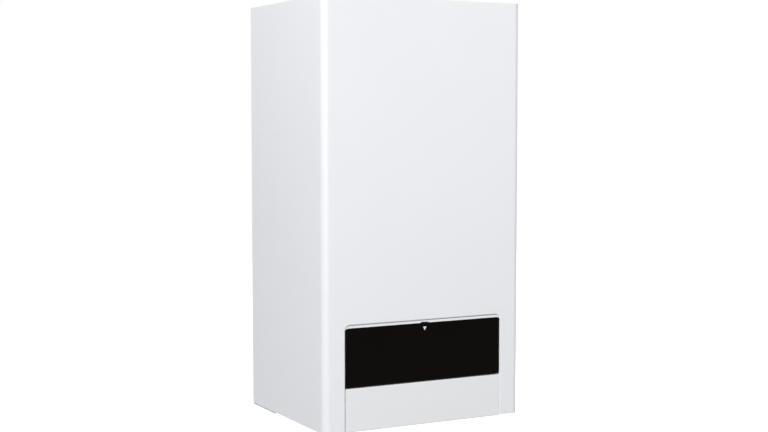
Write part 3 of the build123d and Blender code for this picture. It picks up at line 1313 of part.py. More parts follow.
def pump_motor():
    """Wet-rotor motor in front of the volute, with its wiring box."""
    front, rear = pump_span()
    end = front - PUMP_MOTOR_DEPTH
    body = rod(PUMP_MOTOR_R, pump_point(front), pump_point(end))
    body = chamfer(body.edges().group_by(Axis.Y)[0], PUMP_MOTOR_EDGE)
    body += rod(PUMP_CAP_R, pump_point(end), pump_point(end - PUMP_CAP))
    low = PUMP_Z + PUMP_MOTOR_R - PUMP_BOX_SINK
    half = PUMP_BOX_WIDTH / 2
    box = block((PUMP_X - half, PUMP_X + half), (end + PUMP_BOX_FRONT_GAP, front - PUMP_BOX_REAR_GAP),
                (low, low + PUMP_BOX_HEIGHT))
    body += fillet(upright_edges(box), PUMP_BOX_EDGE_R)
    bore_end = front - PUMP_MOTOR_DEPTH / 2 - SHAFT_END_GAP
    return body - rod(PUMP_SHAFT_R + SHAFT_CLEAR, pump_point(bore_end), pump_point(front))


def diverter_motor():
    """Actuator that shifts the diverter valve, clipped on the flow block."""
    x = FLOW_X + PIPE_SPACING / 2
    low = BLOCK_TOP + BRANCH_RISE
    body = rod(DIVERTER_R, (x, PIPE_Y, low), (x, PIPE_Y, low + DIVERTER_HEIGHT))
    half = DIVERTER_R + DIVERTER_CAP_OUT
    cap = block((x - half, x + half), (PIPE_Y - half, PIPE_Y + half),
                (low + DIVERTER_CAP_LEVEL, low + DIVERTER_HEIGHT))
    return body + fillet(upright_edges(cap), DIVERTER_CAP_EDGE_R)


def valve_level():
    """Height of the safety valve."""
    return BLOCK_LOW + BLOCK_HEIGHT / 2


def valve_point(y):
    """Point on the safety valve's axis."""
    return (RETURN_X, y, valve_level())


def safety_valve():
    """Brass valve body on the front of the return block, bored for its stem."""
    front = -BLOCK_ARM_REACH
    end = front - VALVE_BODY_LENGTH
    body = rod(VALVE_BODY_R, valve_point(front), valve_point(end))
    body += hexagon(VALVE_HEX_FLAT, valve_point(front), valve_point(front - VALVE_HEX))
    middle = front - VALVE_OUTLET_FORWARD
    low = (RETURN_X, middle, valve_level() - VALVE_OUTLET_DROP)
    body += rod(VALVE_OUTLET_R, valve_point(middle), low)
    return body - rod(VALVE_STEM_R + SHAFT_CLEAR, valve_point(end), valve_point(front - VALVE_HEX))


def safety_valve_knob():
    """Hand knob and stem of the safety valve, fluted round its rim."""
    near = -BLOCK_ARM_REACH - VALVE_BODY_LENGTH - VALVE_KNOB_GAP
    far = near - VALVE_KNOB_LENGTH
    body = rod(VALVE_KNOB_R, valve_point(near), valve_point(far))
    for dx, dz in around(VALVE_FLUTES, VALVE_FLUTE_CIRCLE_R):
        x, z = RETURN_X + dx, valve_level() + dz
        body -= rod(VALVE_FLUTE_R, (x, near, z), (x, far, z))
    return body + rod(VALVE_STEM_R, valve_point(near), valve_point(near + VALVE_STEM))


def air_vent():
    """Automatic air vent on top of the return block's tower."""
    low = PUMP_Z + PUMP_PORT_R + BLOCK_EDGE_R
    y = RISER_Y
    high = low + VENT_HEIGHT
    body = rod(VENT_R, (RETURN_X, y, low), (RETURN_X, y, high))
    body = chamfer(body.edges().group_by(Axis.Z)[-1], VENT_EDGE)
    return body + rod(VENT_CAP_R, (RETURN_X, y, high), (RETURN_X, y, high + VENT_CAP))


def trap_point(height):
    """Point on the trap's upright axis."""
    return (TRAP_X, -TRAP_FROM_WALL, height)


def siphon_trap():
    """Condensate trap: bottle, screw cap and outlet through the floor."""
    body = rod(TRAP_R, trap_point(TRAP_LOW), trap_point(TRAP_TOP))
    body = fillet(body.edges().group_by(Axis.Z)[0], TRAP_EDGE_R)
    body += rod(TRAP_R + TRAP_CAP_OUT, trap_point(TRAP_TOP - TRAP_CAP), trap_point(TRAP_TOP))
    body += rod(HOSE_R + TRAP_NECK_WALL, trap_point(TRAP_TOP), trap_point(TRAP_TOP + TRAP_NECK))
    body += rod(TRAP_TAIL_R + GROMMET_WALL, trap_point(FLOOR_LEVEL), trap_point(TRAP_LOW))
    return body + tube(TRAP_TAIL_R, TRAP_TAIL_WALL, trap_point(-PIPE_TAIL / 2), trap_point(FLOOR_LEVEL))


def condensate_hose():
    """Hose from the heat cell's drain down to the trap."""
    y = CONDENSATE_PORT_Y
    top = CELL_Z - CELL_R - CONDENSATE_PORT_DROP
    trap_top = TRAP_TOP + TRAP_NECK
    middle = (top + trap_top) / 2
    points = [(CELL_X, y, top), (CELL_X, y, middle + HOSE_BEND), trap_point(middle - HOSE_BEND),
              trap_point(trap_top)]
    return bent_pipe(points, HOSE_R, HOSE_BEND)


# ---------------------------------------------------------------- control unit
def lower_panel():
    """Visible panel under the flap, with its rounded top edge."""
    body = block((-UNIT_HALF, UNIT_HALF), (FRONT, FRONT + UNIT_WALL), (-UNIT_DROP, PANEL_TOP))
    edges = body.edges().filter_by(Axis.X).group_by(Axis.Y)[0]
    return fillet(edges, UNIT_EDGE_R)


def unit_cheek():
    """Right-hand side wall of the front moulding, relieved for the flap."""
    inner = UNIT_HALF - UNIT_WALL
    lower = block((inner, UNIT_HALF), (FRONT + UNIT_WALL, UNIT_BACK), (-UNIT_DROP, PANEL_TOP))
    near = FRONT + FLAP_THICK + CHEEK_ROOM
    upper = block((inner, UNIT_HALF), (near, UNIT_BACK), (PANEL_TOP, UNIT_TOP - UNIT_WALL))
    relief = FLAP_AXIS_Y + FLAP_BARREL_R + FLAP_CLEAR
    upper -= block((inner, UNIT_HALF), (near, relief),
                   (PANEL_TOP, FLAP_AXIS_Z + FLAP_BARREL_R + FLAP_CLEAR))
    return lower + upper


def flap_axis_point(x):
    """Point on the flap's hinge axis."""
    return (x, FLAP_AXIS_Y, FLAP_AXIS_Z)


def flap_ear_span():
    """Inner and outer face of the right-hand flap ear."""
    outer = UNIT_HALF - FLAP_EAR_INSET + FLAP_EAR_THICK
    return (outer - FLAP_EAR_THICK, outer)


def flap_ear():
    """Ear of the front moulding that holds the flap's pin, right side."""
    span = flap_ear_span()
    nose = rod(FLAP_EAR_R, flap_axis_point(span[0]), flap_axis_point(span[1]))
    arm = block(span, (FLAP_AXIS_Y, FASCIA_FRONT), (FLAP_AXIS_Z - FLAP_EAR_R, FLAP_AXIS_Z + FLAP_EAR_R))
    foot_near = FLAP_AXIS_Y + FLAP_BARREL_R + FLAP_CLEAR
    foot = block(span, (foot_near, FASCIA_FRONT), (PANEL_TOP - UNIT_WALL, FLAP_AXIS_Z))
    bore = rod(FLAP_PIN_R, flap_axis_point(span[0]), flap_axis_point(span[1]))
    return nose + arm + foot - bore


def tilt_lug():
    """Lug behind the lower panel that turns on the chassis pin."""
    span = (TILT_LUG_X - TILT_LUG_THICK / 2, TILT_LUG_X + TILT_LUG_THICK / 2)
    nose = rod(TILT_LUG_R, (span[0], TILT_Y, TILT_LEVEL), (span[1], TILT_Y, TILT_LEVEL))
    web = block(span, (FRONT + UNIT_WALL, TILT_Y), (TILT_LEVEL - TILT_LUG_R, TILT_LEVEL + TILT_LUG_R))
    bore = rod(TILT_PIN_R + PIN_CLEAR, (span[0], TILT_Y, TILT_LEVEL), (span[1], TILT_Y, TILT_LEVEL))
    return nose + web - bore


def control_front():
    """White front moulding: lower panel, cheeks, shelf and top lip."""
    body = lower_panel() + both_sides(unit_cheek() + flap_ear() + tilt_lug())
    width = (-UNIT_HALF, UNIT_HALF)
    shelf = block(width, (FRONT + UNIT_WALL, UNIT_BACK), (PANEL_TOP - UNIT_WALL, PANEL_TOP))
    lip = block(width, (FRONT, TILT_Y + UNIT_WALL), (LIP_LOW, UNIT_TOP))
    roof = block(width, (TILT_Y, UNIT_BACK), (LIP_LOW, LIP_LOW + UNIT_WALL))
    rib = block((-PANEL_RIB / 2, PANEL_RIB / 2), (FRONT + UNIT_WALL, FASCIA_FRONT),
                (PANEL_TOP / 4, PANEL_TOP - UNIT_WALL))
    body += shelf + lip + roof
    for share in PANEL_RIB_SHARES:
        body += Pos(share * UNIT_HALF, 0, 0) * rib
    reach = TAB_WIDTH / 2 + TAB_CLEAR
    body -= block((-reach, reach), (FRONT, FRONT + 2 * FLAP_THICK),
                  (LIP_LOW, FLAP_TOP + TAB_RISE + TAB_CLEAR))
    return body & doorway_block(-UNIT_GAP, FRONT, UNIT_BACK, -UNIT_DROP)


def hinge_pins():
    """Pins of the flap, one at each end."""
    middle = sum(flap_ear_span()) / 2
    reach = FLAP_PIN_LENGTH / 2
    pin = rod(FLAP_PIN_R, flap_axis_point(middle - reach), flap_axis_point(middle + reach))
    return Compound(children=[pin, mirrored(pin)])


def control_flap():
    """Gloss flap with its finger tab and round hinge edge."""
    plate = block((-UNIT_HALF, UNIT_HALF), (FRONT, FRONT + FLAP_THICK), (FLAP_AXIS_Z, FLAP_TOP))
    plate = fillet(plate.edges().filter_by(Axis.Y).group_by(Axis.Z)[-1], FLAP_CORNER_R)
    barrel = rod(FLAP_BARREL_R, flap_axis_point(-UNIT_HALF), flap_axis_point(UNIT_HALF))
    tab = block((-TAB_WIDTH / 2, TAB_WIDTH / 2), (FRONT, FRONT + FLAP_THICK),
                (FLAP_TOP - TAB_RISE, FLAP_TOP + TAB_RISE))
    tab = chamfer(tab.edges().filter_by(Axis.Y).group_by(Axis.Z)[-1], TAB_EDGE)
    body = plate + barrel + tab
    span = flap_ear_span()
    slot = (span[0] - FLAP_EAR_CLEAR, span[1] + FLAP_EAR_CLEAR)
    reach = FLAP_EAR_R + FLAP_EAR_CLEAR
    notch = rod(reach, flap_axis_point(slot[0]), flap_axis_point(slot[1]))
    notch += block(slot, (FLAP_AXIS_Y - reach, FLAP_AXIS_Y + 2 * reach),
                   (FLAP_LOW - FLAP_EAR_CLEAR, FLAP_AXIS_Z + reach))
    reach_out = FLAP_PIN_LENGTH / 2 + FLAP_EAR_CLEAR
    middle = sum(span) / 2
    bore = rod(FLAP_PIN_R + PIN_CLEAR, flap_axis_point(middle - reach_out),
               flap_axis_point(middle + reach_out))
    return body - both_sides(notch + bore)


def dial_places():
    """Width positions of the two dials."""
    return [(DIAL_FIRST_PLACE + DIAL_PITCH * index) * LAYOUT_SCALE for index in range(2)]


def info_hole():
    """Opening in the fascia for the info key."""
    half = BUTTON_WIDTH / 2 + BUTTON_CLEAR
    rise = BUTTON_HEIGHT / 2 + BUTTON_CLEAR
    span = (DISPLAY_X - half, DISPLAY_X + half)
    return block(span, (FASCIA_FRONT, UNIT_BACK), (BUTTON_LEVEL - rise, BUTTON_LEVEL + rise))


def display_level():
    """Height of the display's centre."""
    return CONTROL_LEVEL + DISPLAY_RAISE


def display_block(grow, near, far):
    """Block of the display window's outline."""
    half = DISPLAY_WIDTH / 2 + grow
    rise = DISPLAY_HEIGHT / 2 + grow
    level = display_level()
    return block((DISPLAY_X - half, DISPLAY_X + half), (near, far), (level - rise, level + rise))


def switch_block(grow, near, far):
    """Block of the power switch's outline."""
    half = SWITCH_WIDTH / 2 + grow
    rise = SWITCH_HEIGHT / 2 + grow
    return block((SWITCH_X - half, SWITCH_X + half), (near, far),
                 (CONTROL_LEVEL - rise, CONTROL_LEVEL + rise))


def control_fascia():
    """Panel behind the flap with the openings for every control."""
    half = UNIT_HALF - UNIT_WALL - FASCIA_CLEAR
    body = block((-half, half), (FASCIA_FRONT, UNIT_BACK),
                 (PANEL_TOP + FASCIA_CLEAR, LIP_LOW - FASCIA_CLEAR))
    round_holes = [(GAUGE_X, GAUGE_R + PIN_CLEAR), (RESET_X, RESET_R + BUTTON_CLEAR)]
    round_holes += [(x, DIAL_SHAFT_R + PIN_CLEAR) for x in dial_places()]
    for x, radius in round_holes:
        body -= rod(radius, (x, FASCIA_FRONT, CONTROL_LEVEL), (x, UNIT_BACK, CONTROL_LEVEL))
    body -= display_block(BUTTON_CLEAR, FASCIA_FRONT, UNIT_BACK)
    body -= info_hole()
    return body - switch_block(BUTTON_CLEAR, FASCIA_FRONT, UNIT_BACK)


def housing_posts(inner_face):
    """Posts of the control housing that carry the board."""
    half = UNIT_HALF - HOUSING_SIDE - HOUSING_WALL - POST_INSET
    back = BOARD_FRONT + BOARD_THICK
    posts = None
    for side in (-1, 1):
        for level in (HOUSING_LOW + POST_LEVEL, HOUSING_HIGH - POST_LEVEL):
            post = rod(POST_R, (side * half, back, level), (side * half, inner_face, level))
            posts = post if posts is None else posts + post
    return posts


def control_housing():
    """Rear box of the control unit with its board posts and side tongues."""
    half = UNIT_HALF - HOUSING_SIDE
    rear = UNIT_BACK + HOUSING_DEPTH
    body = block((-half, half), (UNIT_BACK, rear), (HOUSING_LOW, HOUSING_HIGH))
    body = fillet(body.edges().group_by(Axis.Y)[-1].filter_by(Axis.X), HOUSING_CORNER_R)
    inner = half - HOUSING_WALL
    span = (HOUSING_LOW + HOUSING_WALL, HOUSING_HIGH - HOUSING_WALL)
    body -= block((-inner, inner), (UNIT_BACK, rear - HOUSING_WALL), span)
    tongue = block((half, UNIT_HALF), (UNIT_BACK, UNIT_BACK + HOUSING_WALL),
                   (CONTROL_LEVEL - TONGUE_HEIGHT / 2, CONTROL_LEVEL + TONGUE_HEIGHT / 2))
    body += both_sides(tongue) + housing_posts(rear - HOUSING_WALL)
    slot = block((-AIR_SLOT_WIDTH / 2, AIR_SLOT_WIDTH / 2), (rear - HOUSING_WALL, rear),
                 (CONTROL_LEVEL - AIR_SLOT_HEIGHT / 2, CONTROL_LEVEL + AIR_SLOT_HEIGHT / 2))
    for index in range(AIR_SLOTS):
        body -= Pos(AIR_SLOT_PITCH * (index - (AIR_SLOTS - 1) / 2), 0, 0) * slot
    return body


def control_board():
    """Circuit board with its transformer, relays and terminal strip."""
    half = UNIT_HALF - HOUSING_SIDE - HOUSING_WALL - BOARD_CLEAR
    low = HOUSING_LOW + HOUSING_WALL + BOARD_CLEAR
    high = HOUSING_HIGH - HOUSING_WALL - BOARD_CLEAR
    back = BOARD_FRONT + BOARD_THICK
    body = block((-half, half), (BOARD_FRONT, back), (low, high))
    left = TRANSFORMER_INSET - half
    body += block((left, left + TRANSFORMER_WIDTH), (back, back + TRANSFORMER_DEPTH),
                  (low + TRANSFORMER_RISE, low + TRANSFORMER_RISE + TRANSFORMER_HEIGHT))
    for index in range(RELAY_COUNT):
        x = RELAY_ROW_X + RELAY_PITCH * (index - (RELAY_COUNT - 1) / 2)
        body += block((x - RELAY_WIDTH / 2, x + RELAY_WIDTH / 2), (back, back + RELAY_DEPTH),
                      (high - RELAY_DROP - RELAY_HEIGHT, high - RELAY_DROP))
    right = half - TERMINAL_INSET
    return body + block((right - TERMINAL_WIDTH, right), (back, back + TERMINAL_DEPTH),
                        (low + TERMINAL_RISE, low + TERMINAL_RISE + TERMINAL_HEIGHT))


def display_window():
    """Clear window of the display."""
    return display_block(0, FASCIA_FRONT, FASCIA_FRONT + DISPLAY_GLASS)


def display_module():
    """Liquid-crystal module behind the window."""
    near = FASCIA_FRONT + DISPLAY_GLASS
    body = display_block(0, near, UNIT_BACK)
    return body + display_block(BUTTON_LIP, UNIT_BACK, UNIT_BACK + DISPLAY_MODULE)


def gauge_point(y):
    """Point on the gauge's axis."""
    return (GAUGE_X, y, CONTROL_LEVEL)


def gauge_body():
    """Cup of the pressure gauge with its bezel, dial face and spindle."""
    near = FASCIA_FRONT - GAUGE_BEZEL
    rear = UNIT_BACK + GAUGE_DEPTH
    body = rod(GAUGE_R, gauge_point(FASCIA_FRONT), gauge_point(rear))
    body += rod(GAUGE_BEZEL_R, gauge_point(near), gauge_point(FASCIA_FRONT))
    face = near + GAUGE_FACE_DEPTH
    body -= rod(GAUGE_R - GAUGE_WALL, gauge_point(near), gauge_point(face))
    return body + rod(SPINDLE_R, gauge_point(near + GAUGE_GLASS + NEEDLE_GAP), gauge_point(face))


def gauge_window():
    """Glass of the pressure gauge."""
    near = FASCIA_FRONT - GAUGE_BEZEL
    return rod(GAUGE_R - GAUGE_WALL, gauge_point(near), gauge_point(near + GAUGE_GLASS))


def gauge_needle():
    """Needle on its spindle, at the zero of the scale."""
    back = FASCIA_FRONT - GAUGE_BEZEL + GAUGE_FACE_DEPTH - NEEDLE_GAP
    near = back - NEEDLE_THICK
    needle = block((GAUGE_X - NEEDLE_WIDTH / 2, GAUGE_X + NEEDLE_WIDTH / 2), (near, back),
                   (CONTROL_LEVEL - NEEDLE_TAIL, CONTROL_LEVEL + NEEDLE_LENGTH))
    turn = Pos(*gauge_point(0)) * Rot(0, GAUGE_ZERO, 0) * Pos(-GAUGE_X, 0, -CONTROL_LEVEL)
    body = turn * needle
    body += rod(NEEDLE_HUB_R, gauge_point(near), gauge_point(back))
    return body - rod(SPINDLE_R + SPINDLE_CLEAR, gauge_point(near), gauge_point(back))


def dial(x):
    """Round control knob with a grip bar, a mark and its shaft."""
    back = FASCIA_FRONT - DIAL_GAP
    base = back - DIAL_HEIGHT / 2
    near = back - DIAL_HEIGHT
    body = rod(DIAL_R, (x, back, CONTROL_LEVEL), (x, base, CONTROL_LEVEL))
    body = chamfer(body.edges().group_by(Axis.Y)[0], DIAL_EDGE)
    reach = DIAL_R - DIAL_GRIP_INSET
    grip = block((x - DIAL_GRIP_WIDTH / 2, x + DIAL_GRIP_WIDTH / 2), (near, back),
                 (CONTROL_LEVEL - reach, CONTROL_LEVEL + reach))
    body += fillet(grip.edges().filter_by(Axis.Z).group_by(Axis.Y)[0], DIAL_GRIP_EDGE_R)
    body -= block((x - DIAL_MARK / 2, x + DIAL_MARK / 2), (near, near + DIAL_MARK_DEPTH),
                  (CONTROL_LEVEL, CONTROL_LEVEL + DIAL_R))
    shaft_end = BOARD_FRONT - SHAFT_END_GAP
    return body + rod(DIAL_SHAFT_R, (x, back, CONTROL_LEVEL), (x, shaft_end, CONTROL_LEVEL))


def info_button():
    """Key under the display: cap in front of the fascia, lip behind it and its stem."""
    x = DISPLAY_X
    half, rise = BUTTON_WIDTH / 2, BUTTON_HEIGHT / 2
    span = (BUTTON_LEVEL - rise, BUTTON_LEVEL + rise)
    back = UNIT_BACK + BUTTON_CLEAR
    cap = block((x - half, x + half), (FASCIA_FRONT - BUTTON_PROUD, back), span)
    cap = fillet(cap.edges().group_by(Axis.Y)[0], BUTTON_EDGE_R)
    lip = block((x - half - BUTTON_LIP, x + half + BUTTON_LIP), (back, back + BUTTON_LIP_THICK),
                (span[0] - BUTTON_LIP, span[1] + BUTTON_LIP))
    reach = BUTTON_STEM / 2
    stem = block((x - reach, x + reach), (back, stem_end()), (BUTTON_LEVEL - reach, BUTTON_LEVEL + reach))
    return cap + lip + stem


def stem_end():
    """Rear end of the keys' stems, short of the board's switches."""
    return BOARD_FRONT - BUTTON_TRAVEL - BUTTON_REST


def reset_button():
    """Round reset key with its lip and stem."""
    near = FASCIA_FRONT - BUTTON_PROUD
    back = UNIT_BACK + BUTTON_CLEAR
    body = rod(RESET_R, (RESET_X, near, CONTROL_LEVEL), (RESET_X, back, CONTROL_LEVEL))
    body = chamfer(body.edges().group_by(Axis.Y)[0], RESET_EDGE)
    body += rod(RESET_R + BUTTON_LIP, (RESET_X, back, CONTROL_LEVEL),
                (RESET_X, back + BUTTON_LIP_THICK, CONTROL_LEVEL))
    return body + rod(BUTTON_STEM / 2, (RESET_X, back, CONTROL_LEVEL), (RESET_X, stem_end(), CONTROL_LEVEL))


def switch_frame():
    """Fixed part of the power switch: bezel, box and bearing for the rocker."""
    near = FASCIA_FRONT - SWITCH_BEZEL_THICK
    rear = UNIT_BACK + SWITCH_DEPTH
    body = switch_block(SWITCH_BEZEL, near, FASCIA_FRONT) + switch_block(0, near, rear)
    body -= switch_block(-SWITCH_WALL, near, rear - SWITCH_WALL)
    reach = SWITCH_WIDTH / 2
    return body - rod(ROCKER_AXLE_R + PIN_CLEAR, (SWITCH_X - reach, rocker_axis(), CONTROL_LEVEL),
                      (SWITCH_X + reach, rocker_axis(), CONTROL_LEVEL))


def rocker_axis():
    """Depth of the rocker's axle."""
    return FASCIA_FRONT + ROCKER_THICK / 2


def power_switch():
    """Rocker of the power switch, tilted to its on position."""
    half = SWITCH_WIDTH / 2 - SWITCH_WALL - ROCKER_CLEAR
    rise = SWITCH_HEIGHT / 2 - SWITCH_WALL - 2 * ROCKER_CLEAR
    axis = rocker_axis()
    body = block((SWITCH_X - half, SWITCH_X + half), (axis - ROCKER_THICK, axis + ROCKER_THICK / 2),
                 (CONTROL_LEVEL - rise, CONTROL_LEVEL + rise))
    centre = axis - ROCKER_THICK + ROCKER_DISH - ROCKER_DISH_R
    body -= rod(ROCKER_DISH_R, (SWITCH_X - half, centre, CONTROL_LEVEL),
                (SWITCH_X + half, centre, CONTROL_LEVEL))
    turn = Pos(0, axis, CONTROL_LEVEL) * Rot(-ROCKER_TILT, 0, 0) * Pos(0, -axis, -CONTROL_LEVEL)
    reach = SWITCH_WIDTH / 2 - PIN_CLEAR
    axle = rod(ROCKER_AXLE_R, (SWITCH_X - reach, axis, CONTROL_LEVEL),
               (SWITCH_X + reach, axis, CONTROL_LEVEL))
    return turn * body + axle


def flap_catch():
    """Sprung catch behind the middle of the flap's upper edge."""
    high = LIP_LOW - FASCIA_CLEAR
    near = FRONT + FLAP_THICK + FASCIA_CLEAR
    half = CATCH_WIDTH / 2
    body = block((-half, half), (near, FASCIA_FRONT), (high - CATCH_HEIGHT, high))
    return chamfer(body.edges().filter_by(Axis.X).group_by(Axis.Y)[0], CATCH_EDGE)


# ---------------------------------------------------------------- all pieces
def chassis_pieces():
    """Frame, flue and everything that is fixed to them."""
    return {
        "wall_bracket": wall_bracket(),
        "back_panel": back_panel(),
        "side_uprights": Compound(children=[right_upright(), mirrored(right_upright())]),
        "bottom_plate": bottom_plate(),
        "top_cover": top_cover(),
        "tilt_pins": tilt_pins(),
        "cable_glands": cable_glands(),
        "flue_collar": flue_collar(),
        "flue_seals": flue_seals(),
        "chassis_screws": Compound(children=collar_screws() + cell_screws() + door_nuts()),
        "exhaust_riser": exhaust_riser(),
    }


def heat_pieces():
    """Expansion vessel, heat cell, burner, fan and gas train."""
    return {
        "expansion_vessel": expansion_vessel(),
        "cell_bracket": cell_bracket(),
        "heat_cell_shell": cell_shell(),
        "heat_cell_coil": cell_coil(),
        "burner_door": burner_door(),
        "door_insulation": door_insulation(),
        "burner_tube": burner_tube(),
        "ignition_electrodes": ignition_electrodes(),
        "ignition_unit": ignition_unit(),
        "fan_housing": fan_housing(),
        "fan_impeller": fan_impeller(),
        "fan_motor": fan_motor(),
        "gas_air_mixer": mixer(),
        "air_intake_duct": air_intake_duct(),
        "gas_valve": gas_valve(),
        "gas_pipes": Compound(children=[gas_pipe(), gas_bridge_pipe()]),
    }


def water_pieces():
    """Pipes, blocks, pump, valves and the condensate trap."""
    return {
        "water_pipes": Compound(children=water_pipes()),
        "union_nuts": union_nuts(),
        "pipe_grommets": pipe_grommets(),
        "flow_block": flow_block(),
        "return_block": return_block(),
        "plate_heat_exchanger": plate_heat_exchanger(),
        "pump_housing": pump_housing(),
        "pump_impeller": pump_impeller(),
        "pump_motor": pump_motor(),
        "diverter_motor": diverter_motor(),
        "safety_valve": safety_valve(),
        "safety_valve_knob": safety_valve_knob(),
        "air_vent": air_vent(),
        "siphon_trap": siphon_trap(),
        "condensate_hose": condensate_hose(),
    }


def control_pieces():
    """Control unit with its flap, dials, keys, gauge and switch."""
    pieces = {
        "control_front": control_front(),
        "control_fascia": control_fascia(),
        "control_housing": control_housing(),
        "control_board": Compound(children=[control_board(), display_module()]),
        "control_windows": Compound(children=[display_window(), gauge_window()]),
        "gauge_body": gauge_body(),
        "gauge_needle": gauge_needle(),
        "hinge_pins": hinge_pins(),
        "flap_catch": flap_catch(),
        "control_flap": control_flap(),
        "info_button": info_button(),
        "reset_button": reset_button(),
        "switch_frame": switch_frame(),
        "power_switch": power_switch(),
    }
    pieces.update(zip(("heating_dial", "hot_water_dial"), map(dial, dial_places())))
    return pieces


def lowered(piece):
    """A piece moved down, so that the origin lies on the line of the wall rail's slots."""
    solids = [Pos(0, 0, -SLOT_LEVEL) * solid for solid in piece.solids()]
    return solids[0] if len(solids) == 1 else Compound(children=solids)


def all_pieces():
    """Every piece of the boiler by its name."""
    pieces = {"front_casing": front_casing(), "casing_screws": casing_screws()}
    for group in (chassis_pieces(), heat_pieces(), water_pieces(), control_pieces()):
        pieces.update(group)
    return pieces


os.makedirs("parts", exist_ok=True)
for name, piece in all_pieces().items():
    export_step(lowered(piece), os.path.join("parts", name + ".step"))
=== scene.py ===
"""Looks of a wall-hung combi boiler: finishes, printed marks, small trim, light and camera."""

import logging
import math
from dataclasses import dataclass
from enum import Enum
from functools import cache
from typing import Iterable, Optional

import bmesh
import bpy
from mathutils import Euler, Matrix, Vector


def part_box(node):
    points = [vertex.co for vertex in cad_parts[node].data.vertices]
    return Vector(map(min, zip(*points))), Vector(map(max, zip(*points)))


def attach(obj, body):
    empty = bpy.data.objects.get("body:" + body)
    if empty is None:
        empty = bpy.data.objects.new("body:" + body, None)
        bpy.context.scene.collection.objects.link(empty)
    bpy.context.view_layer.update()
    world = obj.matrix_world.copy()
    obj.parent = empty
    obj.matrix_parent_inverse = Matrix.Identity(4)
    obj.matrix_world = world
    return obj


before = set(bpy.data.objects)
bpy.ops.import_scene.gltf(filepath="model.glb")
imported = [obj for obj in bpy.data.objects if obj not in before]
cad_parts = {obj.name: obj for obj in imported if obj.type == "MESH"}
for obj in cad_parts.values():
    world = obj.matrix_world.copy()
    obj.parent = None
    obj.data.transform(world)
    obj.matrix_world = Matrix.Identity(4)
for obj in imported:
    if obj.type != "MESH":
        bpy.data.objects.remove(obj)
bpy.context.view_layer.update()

log = logging.getLogger("boiler")

Colour = tuple[float, float, float]
Triple = tuple[float, float, float]
Pair = tuple[float, float]
Point = tuple[float, float]
Socket = bpy.types.NodeSocket

MM = 0.001
WHITE: Colour = (1.0, 1.0, 1.0)
PHOTO_WIDTH = 768
SENSOR_WIDTH = 36.0
CASING_FOOT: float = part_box("front_casing")[0][2]


class Body(str, Enum):
    """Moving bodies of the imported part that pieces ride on."""

    CHASSIS = "chassis"
    CASING = "casing"
    CONTROL_UNIT = "control_unit"
    FLAP = "flap"
    HEATING_DIAL = "heating_dial"
    HOT_WATER_DIAL = "hot_water_dial"
    INFO_BUTTON = "info_button"
    RESET_BUTTON = "reset_button"
    POWER_SWITCH = "power_switch"


def colour4(colour: Colour) -> tuple[float, float, float, float]:
    """A colour with full opacity added."""
    return (colour[0], colour[1], colour[2], 1.0)


def scaled(colour: Colour, factor: float) -> Colour:
    """A colour made lighter or darker by one factor."""
    return (colour[0] * factor, colour[1] * factor, colour[2] * factor)


def place(x: float, y: float, z: float) -> Vector:
    """A point given in millimetres above the casing's bottom edge, in the part's frame.

    Args:
        x: Millimetres to the right of mid width.
        y: Millimetres towards the wall; the wall is at zero.
        z: Millimetres above the casing's bottom edge.

    Returns:
        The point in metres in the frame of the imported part.
    """
    return Vector((x * MM, y * MM, z * MM + CASING_FOOT))


@dataclass(frozen=True)
class Reach:
    """How far a piece of the part reaches, in millimetres, with heights above the casing's bottom edge."""

    left: float
    right: float
    front: float
    back: float
    foot: float
    top: float

    @property
    def x(self) -> float:
        """Middle across."""
        return (self.left + self.right) / 2

    @property
    def y(self) -> float:
        """Middle from front to back."""
        return (self.front + self.back) / 2

    @property
    def z(self) -> float:
        """Middle in height."""
        return (self.foot + self.top) / 2


def reach(node: str) -> Reach:
    """Measure a piece of the part at rest.

    Args:
        node: Name of the piece.

    Returns:
        How far the piece reaches each way.
    """
    low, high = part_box(node)
    across, deep = (low[0] / MM, high[0] / MM), (low[1] / MM, high[1] / MM)
    return Reach(*across, *deep, (low[2] - CASING_FOOT) / MM, (high[2] - CASING_FOOT) / MM)


# ---------------------------------------------------------------- finishes
NOISE_LOW = 0.3
NOISE_HIGH = 0.7


class Noise(Enum):
    """Characters of a noise: its octaves, and the share that each finer one adds."""

    SMOOTH = (1.0, 0.5)
    SOFT = (2.0, 0.5)
    LINED = (3.0, 0.5)
    ROUGH = (4.0, 0.6)
    FELTED = (5.0, 0.7)


